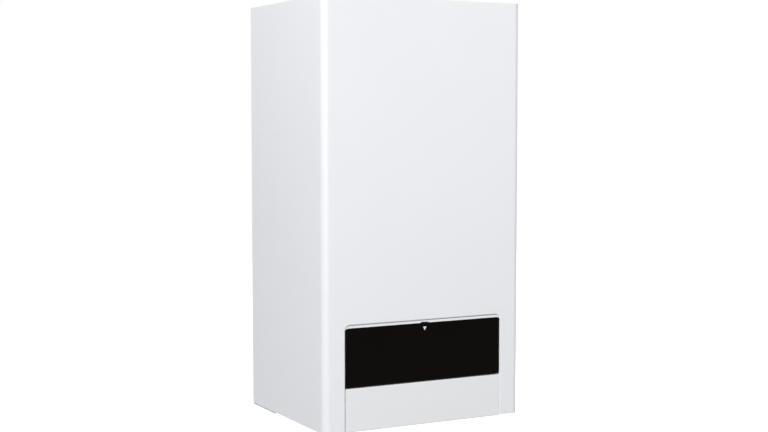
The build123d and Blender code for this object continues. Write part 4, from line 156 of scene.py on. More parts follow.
class ShaderSheet:
    """Node tree of one material, with short calls for what the finishes share."""

    def __init__(self, name: str) -> None:
        """Start a material whose principled shader is linked to its output.

        Args:
            name: Name of the material.
        """
        self.material = bpy.data.materials.new(name)
        self.material.use_nodes = True
        self.tree = self.material.node_tree
        self.tree.nodes.clear()
        output = self.node("ShaderNodeOutputMaterial")
        self.shader = self.node("ShaderNodeBsdfPrincipled")
        self.tree.links.new(self.shader.outputs["BSDF"], output.inputs["Surface"])
        self.position: Socket = self.node("ShaderNodeTexCoord").outputs["Object"]

    def node(self, kind: str) -> bpy.types.Node:
        """Add a node of a kind."""
        return self.tree.nodes.new(kind)

    def join(self, output: Socket, target: Socket) -> None:
        """Link an output to an input."""
        self.tree.links.new(output, target)

    def constant(self, socket: str, value: float | tuple[float, ...]) -> None:
        """Set a value on the shader's own socket."""
        self.shader.inputs[socket].default_value = value

    def drive(self, socket: str, output: Socket) -> None:
        """Link an output to one of the shader's sockets."""
        self.join(output, self.shader.inputs[socket])

    def stretched(self, scale: Triple) -> Socket:
        """Object position scaled differently along each axis.

        Args:
            scale: Factor along X, Y and Z.

        Returns:
            The socket that gives the scaled position.
        """
        mapping = self.node("ShaderNodeMapping")
        mapping.inputs["Scale"].default_value = scale
        self.join(self.position, mapping.inputs["Vector"])
        return mapping.outputs["Vector"]

    def noise(self, pitch: float, character: Noise = Noise.SOFT, vector: Optional[Socket] = None) -> Socket:
        """Noise whose blobs are about one pitch apart.

        Args:
            pitch: Distance between blobs in metres.
            character: Character of the noise.
            vector: Position to read instead of the object position.

        Returns:
            The socket that gives the noise from 0 to 1.
        """
        noise = self.node("ShaderNodeTexNoise")
        noise.inputs["Scale"].default_value = 1.0 / pitch
        for label, value in zip(("Detail", "Roughness"), character.value):
            noise.inputs[label].default_value = value
        self.join(vector or self.position, noise.inputs["Vector"])
        return noise.outputs["Fac"]

    def cells(self, pitch: float, output: str = "Color", feature: str = "F1") -> Socket:
        """Voronoi cells of about one pitch.

        Args:
            pitch: Size of a cell in metres.
            output: Name of the output that is read.
            feature: Voronoi feature.

        Returns:
            The chosen output of the cells.
        """
        cells = self.node("ShaderNodeTexVoronoi")
        cells.feature = feature
        cells.inputs["Scale"].default_value = 1.0 / pitch
        self.join(self.position, cells.inputs["Vector"])
        return cells.outputs[output]

    def ranged(self, value: Socket, low: float, high: float, start: float = NOISE_LOW,
               end: float = NOISE_HIGH) -> Socket:
        """A value spread over a range.

        Args:
            value: Socket that is read.
            low: Result at the start of the input's range.
            high: Result at its end.
            start: Start of the input's range.
            end: End of the input's range.

        Returns:
            The socket with the ranged value.
        """
        spread = self.node("ShaderNodeMapRange")
        spread.inputs["From Min"].default_value = start
        spread.inputs["From Max"].default_value = end
        spread.inputs["To Min"].default_value = low
        spread.inputs["To Max"].default_value = high
        self.join(value, spread.inputs["Value"])
        return spread.outputs["Result"]

    def mixed(self, factor: Socket, first: Colour, second: Colour) -> Socket:
        """Two colours mixed by a factor.

        Args:
            factor: Socket from 0 for the first colour to 1 for the second.
            first: Colour at 0.
            second: Colour at 1.

        Returns:
            The mixed colour's socket.
        """
        mix = self.node("ShaderNodeMix")
        mix.data_type = "RGBA"
        colours = [end for end in mix.inputs if end.type == "RGBA"]
        for end, colour in zip(colours, (first, second)):
            end.default_value = colour4(colour)
        self.join(factor, mix.inputs["Factor"])
        return next(end for end in mix.outputs if end.type == "RGBA")

    def relief(self, height: Socket, depth: float) -> None:
        """Bump the surface by a height pattern.

        Args:
            height: Socket of the pattern, from 0 to 1.
            depth: Height of the relief in metres.
        """
        bump = self.node("ShaderNodeBump")
        bump.inputs["Strength"].default_value = 1.0
        bump.inputs["Distance"].default_value = depth
        self.join(height, bump.inputs["Height"])
        self.drive("Normal", bump.outputs["Normal"])

    def tint(self, pattern: Socket, colour: Colour, low: float, high: float) -> None:
        """Let a pattern move the base colour between a darker and a lighter tone.

        Args:
            pattern: Socket of the pattern, from 0 to 1.
            colour: Colour of the finish.
            low: Factor of the tone at 0.
            high: Factor of the tone at 1.
        """
        self.drive("Base Color", self.mixed(pattern, scaled(colour, low), scaled(colour, high)))

    def gloss(self, pattern: Socket, low: float, high: float, start: float = NOISE_LOW,
              end: float = NOISE_HIGH) -> None:
        """Let a pattern move the roughness between two values.

        Args:
            pattern: Socket of the pattern.
            low: Roughness at the start of the pattern's range.
            high: Roughness at its end.
            start: Start of the pattern's range.
            end: End of the pattern's range.
        """
        self.drive("Roughness", self.ranged(pattern, low, high, start, end))


@dataclass(frozen=True)
class Finish:
    """A finish by its name and main colour; each kind paints its own patterns."""

    name: str
    colour: Colour

    def paint(self, sheet: ShaderSheet) -> None:
        """Lay the plain colour on a sheet."""
        sheet.constant("Base Color", colour4(self.colour))

    def build(self) -> bpy.types.Material:
        """Build the material.

        Returns:
            The material.
        """
        sheet = ShaderSheet(self.name)
        self.paint(sheet)
        return sheet.material


@dataclass(frozen=True)
class PowderCoat(Finish):
    """Powder coat on sheet steel: even colour, soft gloss and a faint orange peel."""

    roughness: float = 0.34
    specular: float = 0.45
    gloss_spread: float = 0.03
    gloss_pitch: float = 0.03
    peel_pitch: float = 0.0025
    peel_depth: float = 0.000018
    cloud_pitch: float = 0.18
    drift: float = 0.012

    def paint(self, sheet: ShaderSheet) -> None:
        """Lay the finish on a sheet.

        Args:
            sheet: Sheet of the material.
        """
        sheet.tint(sheet.noise(self.cloud_pitch, Noise.SMOOTH), self.colour, 1 - self.drift, 1 + self.drift)
        sheet.gloss(sheet.noise(self.gloss_pitch), self.roughness - self.gloss_spread,
                    self.roughness + self.gloss_spread)
        sheet.constant("Specular IOR Level", self.specular)
        sheet.relief(sheet.noise(self.peel_pitch, Noise.SMOOTH), self.peel_depth)


@dataclass(frozen=True)
class MouldedPlastic(Finish):
    """Injection-moulded plastic with a spark-eroded grain."""

    roughness: float = 0.45
    specular: float = 0.4
    grain_pitch: float = 0.0006
    grain_depth: float = 0.00002
    drift: float = 0.03
    flow_pitch: float = 0.05
    gloss_pitch: float = 0.012
    gloss_spread: float = 0.05

    def paint(self, sheet: ShaderSheet) -> None:
        """Lay the finish on a sheet.

        Args:
            sheet: Sheet of the material.
        """
        sheet.tint(sheet.noise(self.flow_pitch), self.colour, 1 - self.drift, 1 + self.drift)
        sheet.gloss(sheet.noise(self.gloss_pitch), self.roughness - self.gloss_spread,
                    self.roughness + self.gloss_spread)
        sheet.constant("Specular IOR Level", self.specular)
        sheet.relief(sheet.noise(self.grain_pitch), self.grain_depth)


@dataclass(frozen=True)
class PolishedPlastic(Finish):
    """Deep gloss plastic with a few hairline wipe marks."""

    tones: Pair = (0.85, 1.2)
    roughness: float = 0.08
    specular: float = 0.035
    cloud_pitch: float = 0.06
    wipe_pitch: float = 0.004
    wipe_stretch: Triple = (0.12, 1.0, 1.0)
    wipe_range: Pair = (0.45, 0.75)
    wipe_haze: float = 0.05

    def paint(self, sheet: ShaderSheet) -> None:
        """Lay the finish on a sheet.

        Args:
            sheet: Sheet of the material.
        """
        wipes = sheet.noise(self.wipe_pitch, Noise.LINED, vector=sheet.stretched(self.wipe_stretch))
        sheet.tint(sheet.noise(self.cloud_pitch), self.colour, *self.tones)
        sheet.gloss(wipes, self.roughness, self.roughness + self.wipe_haze, *self.wipe_range)
        sheet.constant("Specular IOR Level", self.specular)


@dataclass(frozen=True)
class GalvanisedSheet(Finish):
    """Hot-dip galvanised steel with its spangle."""

    colour: Colour = (0.46, 0.48, 0.50)
    tones: Pair = (0.86, 1.12)
    spangle_pitch: float = 0.009
    roughness: float = 0.52
    gloss_spread: float = 0.1
    metallic: float = 0.85
    skin_pitch: float = 0.003
    skin_depth: float = 0.00001

    def paint(self, sheet: ShaderSheet) -> None:
        """Lay the finish on a sheet.

        Args:
            sheet: Sheet of the material.
        """
        spangle = sheet.cells(self.spangle_pitch)
        sheet.tint(spangle, self.colour, *self.tones)
        sheet.gloss(spangle, self.roughness - self.gloss_spread, self.roughness + self.gloss_spread,
                    start=0.0, end=1.0)
        sheet.constant("Metallic", self.metallic)
        sheet.relief(sheet.noise(self.skin_pitch, Noise.LINED), self.skin_depth)


@dataclass(frozen=True)
class WorkedMetal(Finish):
    """Bare metal with lines left by brushing, drawing or turning."""

    roughness: float = 0.3
    smoother: float = 0.08
    rougher: float = 0.12
    line_pitch: float = 0.0012
    line_depth: float = 0.000012
    lines: Triple = (0.05, 1.0, 1.0)
    stain: float = 0.12
    stain_pitch: float = 0.035

    def paint(self, sheet: ShaderSheet) -> None:
        """Lay the finish on a sheet.

        Args:
            sheet: Sheet of the material.
        """
        lines = sheet.noise(self.line_pitch, Noise.LINED, vector=sheet.stretched(self.lines))
        stains = sheet.noise(self.stain_pitch, Noise.ROUGH)
        sheet.tint(stains, self.colour, 1 - self.stain, 1 + self.stain / 2)
        sheet.gloss(lines, self.roughness - self.smoother, self.roughness + self.rougher)
        sheet.constant("Metallic", 1.0)
        sheet.relief(lines, self.line_depth)


@dataclass(frozen=True)
class CastMetal(Finish):
    """Cast metal with a pebbled skin."""

    tones: Pair = (0.9, 1.08)
    metallic: float = 0.75
    roughness: float = 0.5
    smoother: float = 0.08
    rougher: float = 0.1
    cloud_pitch: float = 0.02
    pebble_pitch: float = 0.0016
    pebble_depth: float = 0.00012

    def paint(self, sheet: ShaderSheet) -> None:
        """Lay the finish on a sheet.

        Args:
            sheet: Sheet of the material.
        """
        pebbles = sheet.noise(self.pebble_pitch, Noise.ROUGH)
        sheet.tint(sheet.noise(self.cloud_pitch, Noise.LINED), self.colour, *self.tones)
        sheet.gloss(pebbles, self.roughness - self.smoother, self.roughness + self.rougher)
        sheet.constant("Metallic", self.metallic)
        sheet.relief(pebbles, self.pebble_depth)


@dataclass(frozen=True)
class Enamel(Finish):
    """Thick sprayed enamel with a clear gloss."""

    tones: Pair = (0.9, 1.1)
    roughness: float = 0.28
    smoother: float = 0.04
    rougher: float = 0.08
    cloud_pitch: float = 0.05
    gloss_pitch: float = 0.01
    coat: float = 0.3
    coat_roughness: float = 0.12
    sag_pitch: float = 0.0035
    sag_depth: float = 0.00004

    def paint(self, sheet: ShaderSheet) -> None:
        """Lay the finish on a sheet.

        Args:
            sheet: Sheet of the material.
        """
        sheet.tint(sheet.noise(self.cloud_pitch), self.colour, *self.tones)
        sheet.gloss(sheet.noise(self.gloss_pitch), self.roughness - self.smoother,
                    self.roughness + self.rougher)
        sheet.constant("Coat Weight", self.coat)
        sheet.constant("Coat Roughness", self.coat_roughness)
        sheet.relief(sheet.noise(self.sag_pitch, Noise.SMOOTH), self.sag_depth)


@dataclass(frozen=True)
class FibreBoard(Finish):
    """Pressed ceramic fibre with a felted, dusty face."""

    colour: Colour = (0.80, 0.76, 0.68)
    tones: Pair = (0.82, 1.06)
    roughness: float = 0.95
    felt_pitch: float = 0.0014
    felt_depth: float = 0.0004

    def paint(self, sheet: ShaderSheet) -> None:
        """Lay the finish on a sheet.

        Args:
            sheet: Sheet of the material.
        """
        felt = sheet.noise(self.felt_pitch, Noise.FELTED)
        sheet.tint(felt, self.colour, *self.tones)
        sheet.constant("Roughness", self.roughness)
        sheet.relief(felt, self.felt_depth)


@dataclass(frozen=True)
class SoftRubber(Finish):
    """Matt rubber with a dusty bloom."""

    colour: Colour = (0.03, 0.03, 0.032)
    roughness: float = 0.72
    smoother: float = 0.08
    rougher: float = 0.12
    bloom: float = 1.9
    bloom_pitch: float = 0.008
    skin_pitch: float = 0.0009
    skin_depth: float = 0.00003

    def paint(self, sheet: ShaderSheet) -> None:
        """Lay the finish on a sheet.

        Args:
            sheet: Sheet of the material.
        """
        bloom = sheet.noise(self.bloom_pitch, Noise.ROUGH)
        sheet.tint(bloom, self.colour, 1.0, self.bloom)
        sheet.gloss(bloom, self.roughness - self.smoother, self.roughness + self.rougher)
        sheet.relief(sheet.noise(self.skin_pitch), self.skin_depth)


@dataclass(frozen=True)
class ClearPlastic(Finish):
    """Clear or milky moulded plastic."""

    colour: Colour = (0.95, 0.97, 0.97)
    clearness: float = 1.0
    refraction: float = 1.49
    roughness: float = 0.03
    haze: float = 0.03
    haze_pitch: float = 0.01

    def paint(self, sheet: ShaderSheet) -> None:
        """Lay the finish on a sheet.

        Args:
            sheet: Sheet of the material.
        """
        sheet.constant("Base Color", colour4(self.colour))
        sheet.constant("Transmission Weight", self.clearness)
        sheet.constant("IOR", self.refraction)
        sheet.gloss(sheet.noise(self.haze_pitch), self.roughness, self.roughness + self.haze)


@dataclass(frozen=True)
class SolderMask(Finish):
    """Circuit board lacquer with copper tracks just under it."""

    colour: Colour = (0.03, 0.20, 0.08)
    track: Colour = (0.06, 0.32, 0.13)
    roughness: float = 0.3
    track_pitch: float = 0.006
    track_edge: Pair = (0.10, 0.14)
    track_rise: float = 0.00004

    def paint(self, sheet: ShaderSheet) -> None:
        """Lay the finish on a sheet.

        Args:
            sheet: Sheet of the material.
        """
        lines = sheet.cells(self.track_pitch, output="Distance", feature="DISTANCE_TO_EDGE")
        tracks = sheet.ranged(lines, 1.0, 0.0, *self.track_edge)
        sheet.drive("Base Color", sheet.mixed(tracks, self.colour, self.track))
        sheet.constant("Roughness", self.roughness)
        sheet.relief(tracks, self.track_rise)


@dataclass(frozen=True)
class PrintedInk(Finish):
    """Screen-printed ink, slightly uneven in its cover."""

    thin: float = 0.94
    roughness: float = 0.5
    cover_pitch: float = 0.0007
    cover_depth: float = 0.000008

    def paint(self, sheet: ShaderSheet) -> None:
        """Lay the finish on a sheet.

        Args:
            sheet: Sheet of the material.
        """
        cover = sheet.noise(self.cover_pitch)
        sheet.tint(cover, self.colour, self.thin, 1.0)
        sheet.constant("Roughness", self.roughness)
        sheet.relief(cover, self.cover_depth)


@dataclass(frozen=True)
class LitPanel(Finish):
    """Panel that is lit a little from behind, with a slight unevenness."""

    tones: Pair = (0.95, 1.05)
    roughness: float = 0.4
    glow: float = 0.25
    glow_spread: float = 0.2
    haze_pitch: float = 0.02

    def paint(self, sheet: ShaderSheet) -> None:
        """Lay the finish on a sheet.

        Args:
            sheet: Sheet of the material.
        """
        haze = sheet.noise(self.haze_pitch, Noise.SMOOTH)
        sheet.tint(haze, self.colour, *self.tones)
        sheet.constant("Roughness", self.roughness)
        sheet.constant("Emission Color", colour4(self.colour))
        low, high = self.glow * (1 - self.glow_spread), self.glow * (1 + self.glow_spread)
        sheet.drive("Emission Strength", sheet.ranged(haze, low, high))


CASING_COAT = PowderCoat("white_powder_coat", (0.86, 0.875, 0.905), roughness=0.4, specular=0.3)
FRONT_MOULDING = MouldedPlastic("white_front_moulding", (0.84, 0.85, 0.87), roughness=0.36,
                                grain_pitch=0.002, grain_depth=0.00001, drift=0.01)
FLAP_GLOSS = PolishedPlastic("black_flap_gloss", (0.0020, 0.0010, 0.0004))
FASCIA_GRAIN = MouldedPlastic("dark_fascia_grain", (0.05, 0.052, 0.056), roughness=0.55, grain_depth=0.00004)
HOUSING_GREY = MouldedPlastic("grey_housing", (0.40, 0.41, 0.42), roughness=0.5)
DIAL_SATIN = MouldedPlastic("satin_dial", (0.76, 0.77, 0.79), roughness=0.42, grain_pitch=0.0012,
                            grain_depth=0.00001)
KEY_SATIN = MouldedPlastic("satin_key", (0.72, 0.73, 0.75), roughness=0.45)
RESET_ORANGE = MouldedPlastic("orange_key", (0.70, 0.22, 0.03), roughness=0.4)
SWITCH_BLACK = MouldedPlastic("black_switch", (0.015, 0.015, 0.016), roughness=0.25, grain_depth=0.000005)
GAUGE_CUP = MouldedPlastic("gauge_cup", (0.74, 0.75, 0.75), roughness=0.4)
NEEDLE_RED = PrintedInk("needle_red", (0.62, 0.03, 0.02))
WINDOW_CLEAR = ClearPlastic("clear_window")
BOARD_GREEN = SolderMask("board_lacquer")
GALVANISED = GalvanisedSheet("galvanised_sheet")
BRIGHT_STEEL = WorkedMetal("bright_steel", (0.58, 0.58, 0.59), roughness=0.25)
ZINC_PLATE = WorkedMetal("zinc_plate", (0.60, 0.60, 0.56), roughness=0.38, stain=0.2)
GLAND_BLACK = MouldedPlastic("gland_black", (0.025, 0.025, 0.027), roughness=0.5)
COLLAR_GREY = MouldedPlastic("collar_plastic", (0.66, 0.67, 0.68), roughness=0.5)
FLUE_WHITE = MouldedPlastic("flue_plastic", (0.76, 0.76, 0.73), roughness=0.42)
SEAL_BLACK = SoftRubber("seal_rubber")
VESSEL_RED = Enamel("vessel_enamel", (0.40, 0.035, 0.025))
BRUSHED_STAINLESS = WorkedMetal("brushed_stainless", (0.60, 0.59, 0.57), roughness=0.32)
CAST_ALLOY = CastMetal("cast_alloy", (0.44, 0.45, 0.46), roughness=0.55)
FIBRE = FibreBoard("ceramic_fibre")
GLAZED_CERAMIC = Enamel("glazed_ceramic", (0.84, 0.82, 0.76), roughness=0.2)
MOTOR_BLACK = MouldedPlastic("motor_black", (0.03, 0.03, 0.033), roughness=0.48)
DUCT_GREY = MouldedPlastic("duct_grey", (0.16, 0.17, 0.18), roughness=0.55)
DRAWN_COPPER = WorkedMetal("drawn_copper", (0.72, 0.36, 0.22), roughness=0.3, lines=(1.0, 1.0, 0.05),
                           stain=0.3)
TURNED_BRASS = WorkedMetal("turned_brass", (0.72, 0.54, 0.26), roughness=0.28, lines=(1.0, 0.1, 1.0),
                           stain=0.15)
FILLED_BLACK = MouldedPlastic("glass_filled_black", (0.045, 0.045, 0.05), roughness=0.58,
                              grain_depth=0.00008)
PUMP_PAINT = CastMetal("pump_casting", (0.12, 0.13, 0.145), metallic=0.2, roughness=0.45)
KNOB_RED = MouldedPlastic("red_knob", (0.60, 0.03, 0.02), roughness=0.4)
TRAP_MILKY = ClearPlastic("milky_trap", (0.86, 0.87, 0.84), clearness=0.25, roughness=0.35)
HOSE_GREY = SoftRubber("hose_grey", (0.16, 0.16, 0.17), roughness=0.6)
INK_WHITE = PrintedInk("ink_white", (0.80, 0.81, 0.82))
INK_DARK = PrintedInk("ink_dark", (0.02, 0.02, 0.022))
INK_GREEN = PrintedInk("ink_green", (0.05, 0.36, 0.10))
INK_RED = PrintedInk("ink_red", (0.60, 0.04, 0.03))
# Painted shade: this near-black colour stands in for the shade inside the screws' cross recesses, which are
# zinc like the heads.
SLOT_PAINTED_SHADE = CastMetal("screw_slot_painted_shade", (0.05, 0.05, 0.05), metallic=0.3, roughness=0.7)
DISPLAY_LIT = LitPanel("display_lit", (0.50, 0.62, 0.66))
DISPLAY_DARK = PrintedInk("display_stroke", (0.015, 0.02, 0.03), roughness=0.35)

NODE_FINISHES: dict[str, Finish] = {
    "front_casing": CASING_COAT,
    "casing_screws": ZINC_PLATE,
    "control_front": FRONT_MOULDING,
    "control_flap": FLAP_GLOSS,
    "hinge_pins": BRIGHT_STEEL,
    "flap_catch": MOTOR_BLACK,
    "control_fascia": FASCIA_GRAIN,
    "heating_dial": DIAL_SATIN,
    "hot_water_dial": DIAL_SATIN,
    "info_button": KEY_SATIN,
    "reset_button": RESET_ORANGE,
    "power_switch": SWITCH_BLACK,
    "switch_frame": SWITCH_BLACK,
    "gauge_body": GAUGE_CUP,
    "gauge_needle": NEEDLE_RED,
    "control_windows": WINDOW_CLEAR,
    "control_board": BOARD_GREEN,
    "control_housing": HOUSING_GREY,
    "wall_bracket": GALVANISED,
    "back_panel": GALVANISED,
    "side_uprights": GALVANISED,
    "bottom_plate": GALVANISED,
    "top_cover": GALVANISED,
    "tilt_pins": BRIGHT_STEEL,
    "cable_glands": GLAND_BLACK,
    "chassis_screws": ZINC_PLATE,
    "flue_collar": COLLAR_GREY,
    "flue_seals": SEAL_BLACK,
    "exhaust_riser": FLUE_WHITE,
    "expansion_vessel": VESSEL_RED,
    "cell_bracket": GALVANISED,
    "heat_cell_shell": BRUSHED_STAINLESS,
    "heat_cell_coil": BRUSHED_STAINLESS,
    "burner_door": CAST_ALLOY,
    "door_insulation": FIBRE,
    "burner_tube": BRUSHED_STAINLESS,
    "ignition_electrodes": GLAZED_CERAMIC,
    "ignition_unit": MOTOR_BLACK,
    "fan_housing": CAST_ALLOY,
    "fan_impeller": CAST_ALLOY,
    "fan_motor": MOTOR_BLACK,
    "gas_air_mixer": CAST_ALLOY,
    "air_intake_duct": DUCT_GREY,
    "gas_valve": CAST_ALLOY,
    "gas_pipes": DRAWN_COPPER,
    "water_pipes": DRAWN_COPPER,
    "union_nuts": TURNED_BRASS,
    "pipe_grommets": SEAL_BLACK,
    "flow_block": FILLED_BLACK,
    "return_block": FILLED_BLACK,
    "plate_heat_exchanger": BRUSHED_STAINLESS,
    "pump_housing": PUMP_PAINT,
    "pump_impeller": BRUSHED_STAINLESS,
    "pump_motor": PUMP_PAINT,
    "diverter_motor": MOTOR_BLACK,
    "safety_valve": TURNED_BRASS,
    "safety_valve_knob": KNOB_RED,
    "air_vent": TURNED_BRASS,
    "siphon_trap": TRAP_MILKY,
    "condensate_hose": HOSE_GREY,
}


class Palette:
    """Materials of the boiler, each built once."""

    def __init__(self) -> None:
        """Start with no material built."""
        self.built: dict[str, bpy.types.Material] = {}

    def material(self, finish: Finish) -> bpy.types.Material:
        """The material of a finish, built at its first use.

        Args:
            finish: Finish that is asked for.

        Returns:
            The material.
        """
        if finish.name not in self.built:
            self.built[finish.name] = finish.build()
        return self.built[finish.name]

    def dress_nodes(self) -> None:
        """Give every carried-over piece of the part its finish."""
        for name, finish in NODE_FINISHES.items():
            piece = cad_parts[name]
            for slot in piece.material_slots:
                slot.material = self.material(finish)
            log.info("dressed %s in %s", name, finish.name)


# ---------------------------------------------------------------- mesh work
ROD_SIDES = 10
DOME_SEGMENTS = 12
DOME_RINGS = 6
SECOND_SLOT_DEPTH = 0.9
LETTER_STEPS = 4
WELD_DISTANCE = 0.001
TURNED_SIDES = 40
BAND_STEP = 8.0
BAND_STEPS_LEAST = 3
RADIATOR_COLUMNS = 5
RADIATOR_PITCH = 0.37
RADIATOR_COLUMN = 0.24
RADIATOR_RAIL = 0.1
RADIATOR_RAIL_LEVEL = 0.3
DROP_SHOULDER = 40.0
DROP_STEPS = 16
DROP_TIP = 2.1


class Kind(str, Enum):
    """Kinds of input that a Geometry Nodes tree takes."""

    NUMBER = "NodeSocketFloat"
    COUNT = "NodeSocketInt"
    VECTOR = "NodeSocketVector"
    MATERIAL = "NodeSocketMaterial"


class GrowingTree:
    """Geometry Nodes tree with named inputs, grown into a plain mesh for each use."""

    def __init__(self, name: str, inputs: dict[str, Kind]) -> None:
        """Start a tree with its inputs; a place, a turn and a material are always among them.

        Args:
            name: Name of the tree.
            inputs: Names and kinds of the tree's own inputs.
        """
        self.group = bpy.data.node_groups.new(name, "GeometryNodeTree")
        self.keys: dict[str, str] = {}
        common = {"Place": Kind.VECTOR, "Turn": Kind.VECTOR, "Material": Kind.MATERIAL}
        for label, kind in {**inputs, **common}.items():
            item = self.group.interface.new_socket(name=label, in_out="INPUT", socket_type=kind.value)
            self.keys[label] = item.identifier
        self.group.interface.new_socket(name="Geometry", in_out="OUTPUT", socket_type="NodeSocketGeometry")
        self.source = self.node("NodeGroupInput")

    def node(self, kind: str) -> bpy.types.Node:
        """Add a node of a kind."""
        return self.group.nodes.new(kind)

    def value(self, label: str) -> Socket:
        """Socket that gives one of the tree's inputs."""
        return self.source.outputs[label]

    def feed(self, target: Socket, given: Socket | float) -> None:
        """Link a socket to a target, or set a plain number on it.

        Args:
            target: Input that is fed.
            given: Socket or number.
        """
        if isinstance(given, bpy.types.NodeSocket):
            self.group.links.new(given, target)
        else:
            target.default_value = given

    def calc(self, operation: str, first: Socket | float, second: Socket | float = 0.0) -> Socket:
        """One step of arithmetic.

        Args:
            operation: Name of the operation.
            first: First number.
            second: Second number, where the operation has one.

        Returns:
            The socket that gives the result.
        """
        step = self.node("ShaderNodeMath")
        step.operation = operation
        self.feed(step.inputs[0], first)
        self.feed(step.inputs[1], second)
        return step.outputs["Value"]

    def vector(self, x: Socket | float, y: Socket | float, z: Socket | float) -> Socket:
        """A vector made of three numbers.

        Args:
            x: First part.
            y: Second part.
            z: Third part.

        Returns:
            The socket that gives the vector.
        """
        made = self.node("ShaderNodeCombineXYZ")
        for target, part in zip(made.inputs, (x, y, z)):
            self.feed(target, part)
        return made.outputs["Vector"]

    def rotation(self, angles: Socket) -> Socket:
        """Rotation about X, Y and Z in turn.

        Args:
            angles: Angles about the three axes.

        Returns:
            The socket that gives the rotation.
        """
        turned = self.node("FunctionNodeEulerToRotation")
        self.feed(turned.inputs["Euler"], angles)
        return turned.outputs["Rotation"]

    def number(self) -> Socket:
        """Number of a copy, from zero."""
        return self.node("GeometryNodeInputIndex").outputs["Index"]

    def progress(self) -> Socket:
        """How far along the row a copy is.

        Returns:
            The socket that gives 0 at the first copy and 1 at the last.
        """
        last = self.calc("MAXIMUM", self.calc("SUBTRACT", self.value("Count"), 1.0), 1.0)
        return self.calc("DIVIDE", self.number(), last)

    def share_of_turn(self) -> Socket:
        """Angle of a copy when all copies share a whole turn."""
        return self.calc("MULTIPLY", self.number(), self.calc("DIVIDE", math.tau, self.value("Count")))

    def on_circle(self, radius: Socket, angle: Socket) -> Socket:
        """Place on an upright circle that faces the front.

        Args:
            radius: Radius of the circle.
            angle: Angle from the top, clockwise seen from the front.

        Returns:
            The socket that gives the place.
        """
        across = self.calc("MULTIPLY", radius, self.calc("SINE", angle))
        up = self.calc("MULTIPLY", radius, self.calc("COSINE", angle))
        return self.vector(across, 0.0, up)

    def block(self, size: Socket) -> Socket:
        """Plain block.

        Args:
            size: Size along X, Y and Z.

        Returns:
            The socket that gives the block.
        """
        cube = self.node("GeometryNodeMeshCube")
        self.feed(cube.inputs["Size"], size)
        return cube.outputs["Mesh"]

    def copies(self, shape: Socket, places: Socket, angles: Socket,
               stretch: Optional[Socket] = None) -> Socket:
        """As many copies of a shape as the input Count says, each at its own place.

        Args:
            shape: Geometry of one copy.
            places: Place of each copy.
            angles: Rotation of each copy about X, Y and Z.
            stretch: Scale of each copy.

        Returns:
            The geometry of all copies.
        """
        points = self.node("GeometryNodeMeshLine")
        self.feed(points.inputs["Count"], self.value("Count"))
        points.inputs["Offset"].default_value = (0.0, 0.0, 0.0)
        moved = self.node("GeometryNodeSetPosition")
        self.feed(moved.inputs["Geometry"], points.outputs["Mesh"])
        self.feed(moved.inputs["Position"], places)
        copies = self.node("GeometryNodeInstanceOnPoints")
        self.feed(copies.inputs["Points"], moved.outputs["Geometry"])
        self.feed(copies.inputs["Instance"], shape)
        self.feed(copies.inputs["Rotation"], self.rotation(angles))
        if stretch is not None:
            self.feed(copies.inputs["Scale"], stretch)
        return copies.outputs["Instances"]

    def close(self, geometry: Socket) -> None:
        """End the tree: put the geometry in its place, realise the copies and give the material.

        Args:
            geometry: What the tree made.
        """
        placed = self.node("GeometryNodeTransform")
        self.feed(placed.inputs["Geometry"], geometry)
        self.feed(placed.inputs["Translation"], self.value("Place"))
        self.feed(placed.inputs["Rotation"], self.rotation(self.value("Turn")))
        real = self.node("GeometryNodeRealizeInstances")
        self.feed(real.inputs["Geometry"], placed.outputs["Geometry"])
        coated = self.node("GeometryNodeSetMaterial")
        self.feed(coated.inputs["Geometry"], real.outputs["Geometry"])
        self.feed(coated.inputs["Material"], self.value("Material"))
        output = self.node("NodeGroupOutput")
        self.feed(output.inputs["Geometry"], coated.outputs["Geometry"])

    def grow(self, material: bpy.types.Material, at: Vector, turn: Vector, **sizes: float) -> bpy.types.Mesh:
        """Evaluate the tree once.

        Args:
            material: Material of the result.
            at: Place of the pattern's middle, in metres.
            turn: Rotation of the pattern about X, Y and Z, in radians.
            sizes: The tree's own inputs, with underscores for spaces.

        Returns:
            The plain mesh.
        """
        holder = bpy.data.objects.new(self.group.name, bpy.data.meshes.new(self.group.name))
        modifier = holder.modifiers.new(self.group.name, "NODES")
        modifier.node_group = self.group
        modifier[self.keys["Place"]] = tuple(at)
        modifier[self.keys["Turn"]] = tuple(turn)
        modifier[self.keys["Material"]] = material
        for label, size in sizes.items():
            modifier[self.keys[label.replace("_", " ").title()]] = size
        bpy.context.scene.collection.objects.link(holder)
        grown = holder.evaluated_get(bpy.context.evaluated_depsgraph_get())
        mesh = bpy.data.meshes.new_from_object(grown)
        holder.modifiers.remove(modifier)
        bpy.data.objects.remove(holder)
        return mesh


def metres(**sizes: float) -> dict[str, float]:
    """Sizes in millimetres turned into metres, under the same names."""
    return {label: size * MM for label, size in sizes.items()}


def counted(*numbers: str) -> dict[str, Kind]:
    """Inputs of a tree that repeats a shape: the count, then plain numbers."""
    return {"Count": Kind.COUNT, **{label: Kind.NUMBER for label in numbers}}


@cache
def bar_fan() -> GrowingTree:
    """Tree of flat bars set round a centre like hours on a clock, which may grow in length.

    Returns:
        The tree.
    """
    tree = GrowingTree("bar_fan", counted("Start", "Sweep", "Radius", "Length", "Width", "Depth", "Growth"))
    along = tree.progress()
    angle = tree.calc("ADD", tree.value("Start"), tree.calc("MULTIPLY", tree.value("Sweep"), along))
    growth = tree.calc("ADD", 1.0, tree.calc("MULTIPLY", tree.value("Growth"), along))
    half = tree.calc("MULTIPLY", tree.calc("MULTIPLY", tree.value("Length"), 0.5), growth)
    middle = tree.calc("ADD", tree.value("Radius"), half)
    bar = tree.block(tree.vector(tree.value("Width"), tree.value("Depth"), tree.value("Length")))
    tree.close(tree.copies(bar, tree.on_circle(middle, angle), tree.vector(0.0, angle, 0.0),
                           tree.vector(1.0, 1.0, growth)))
    return tree


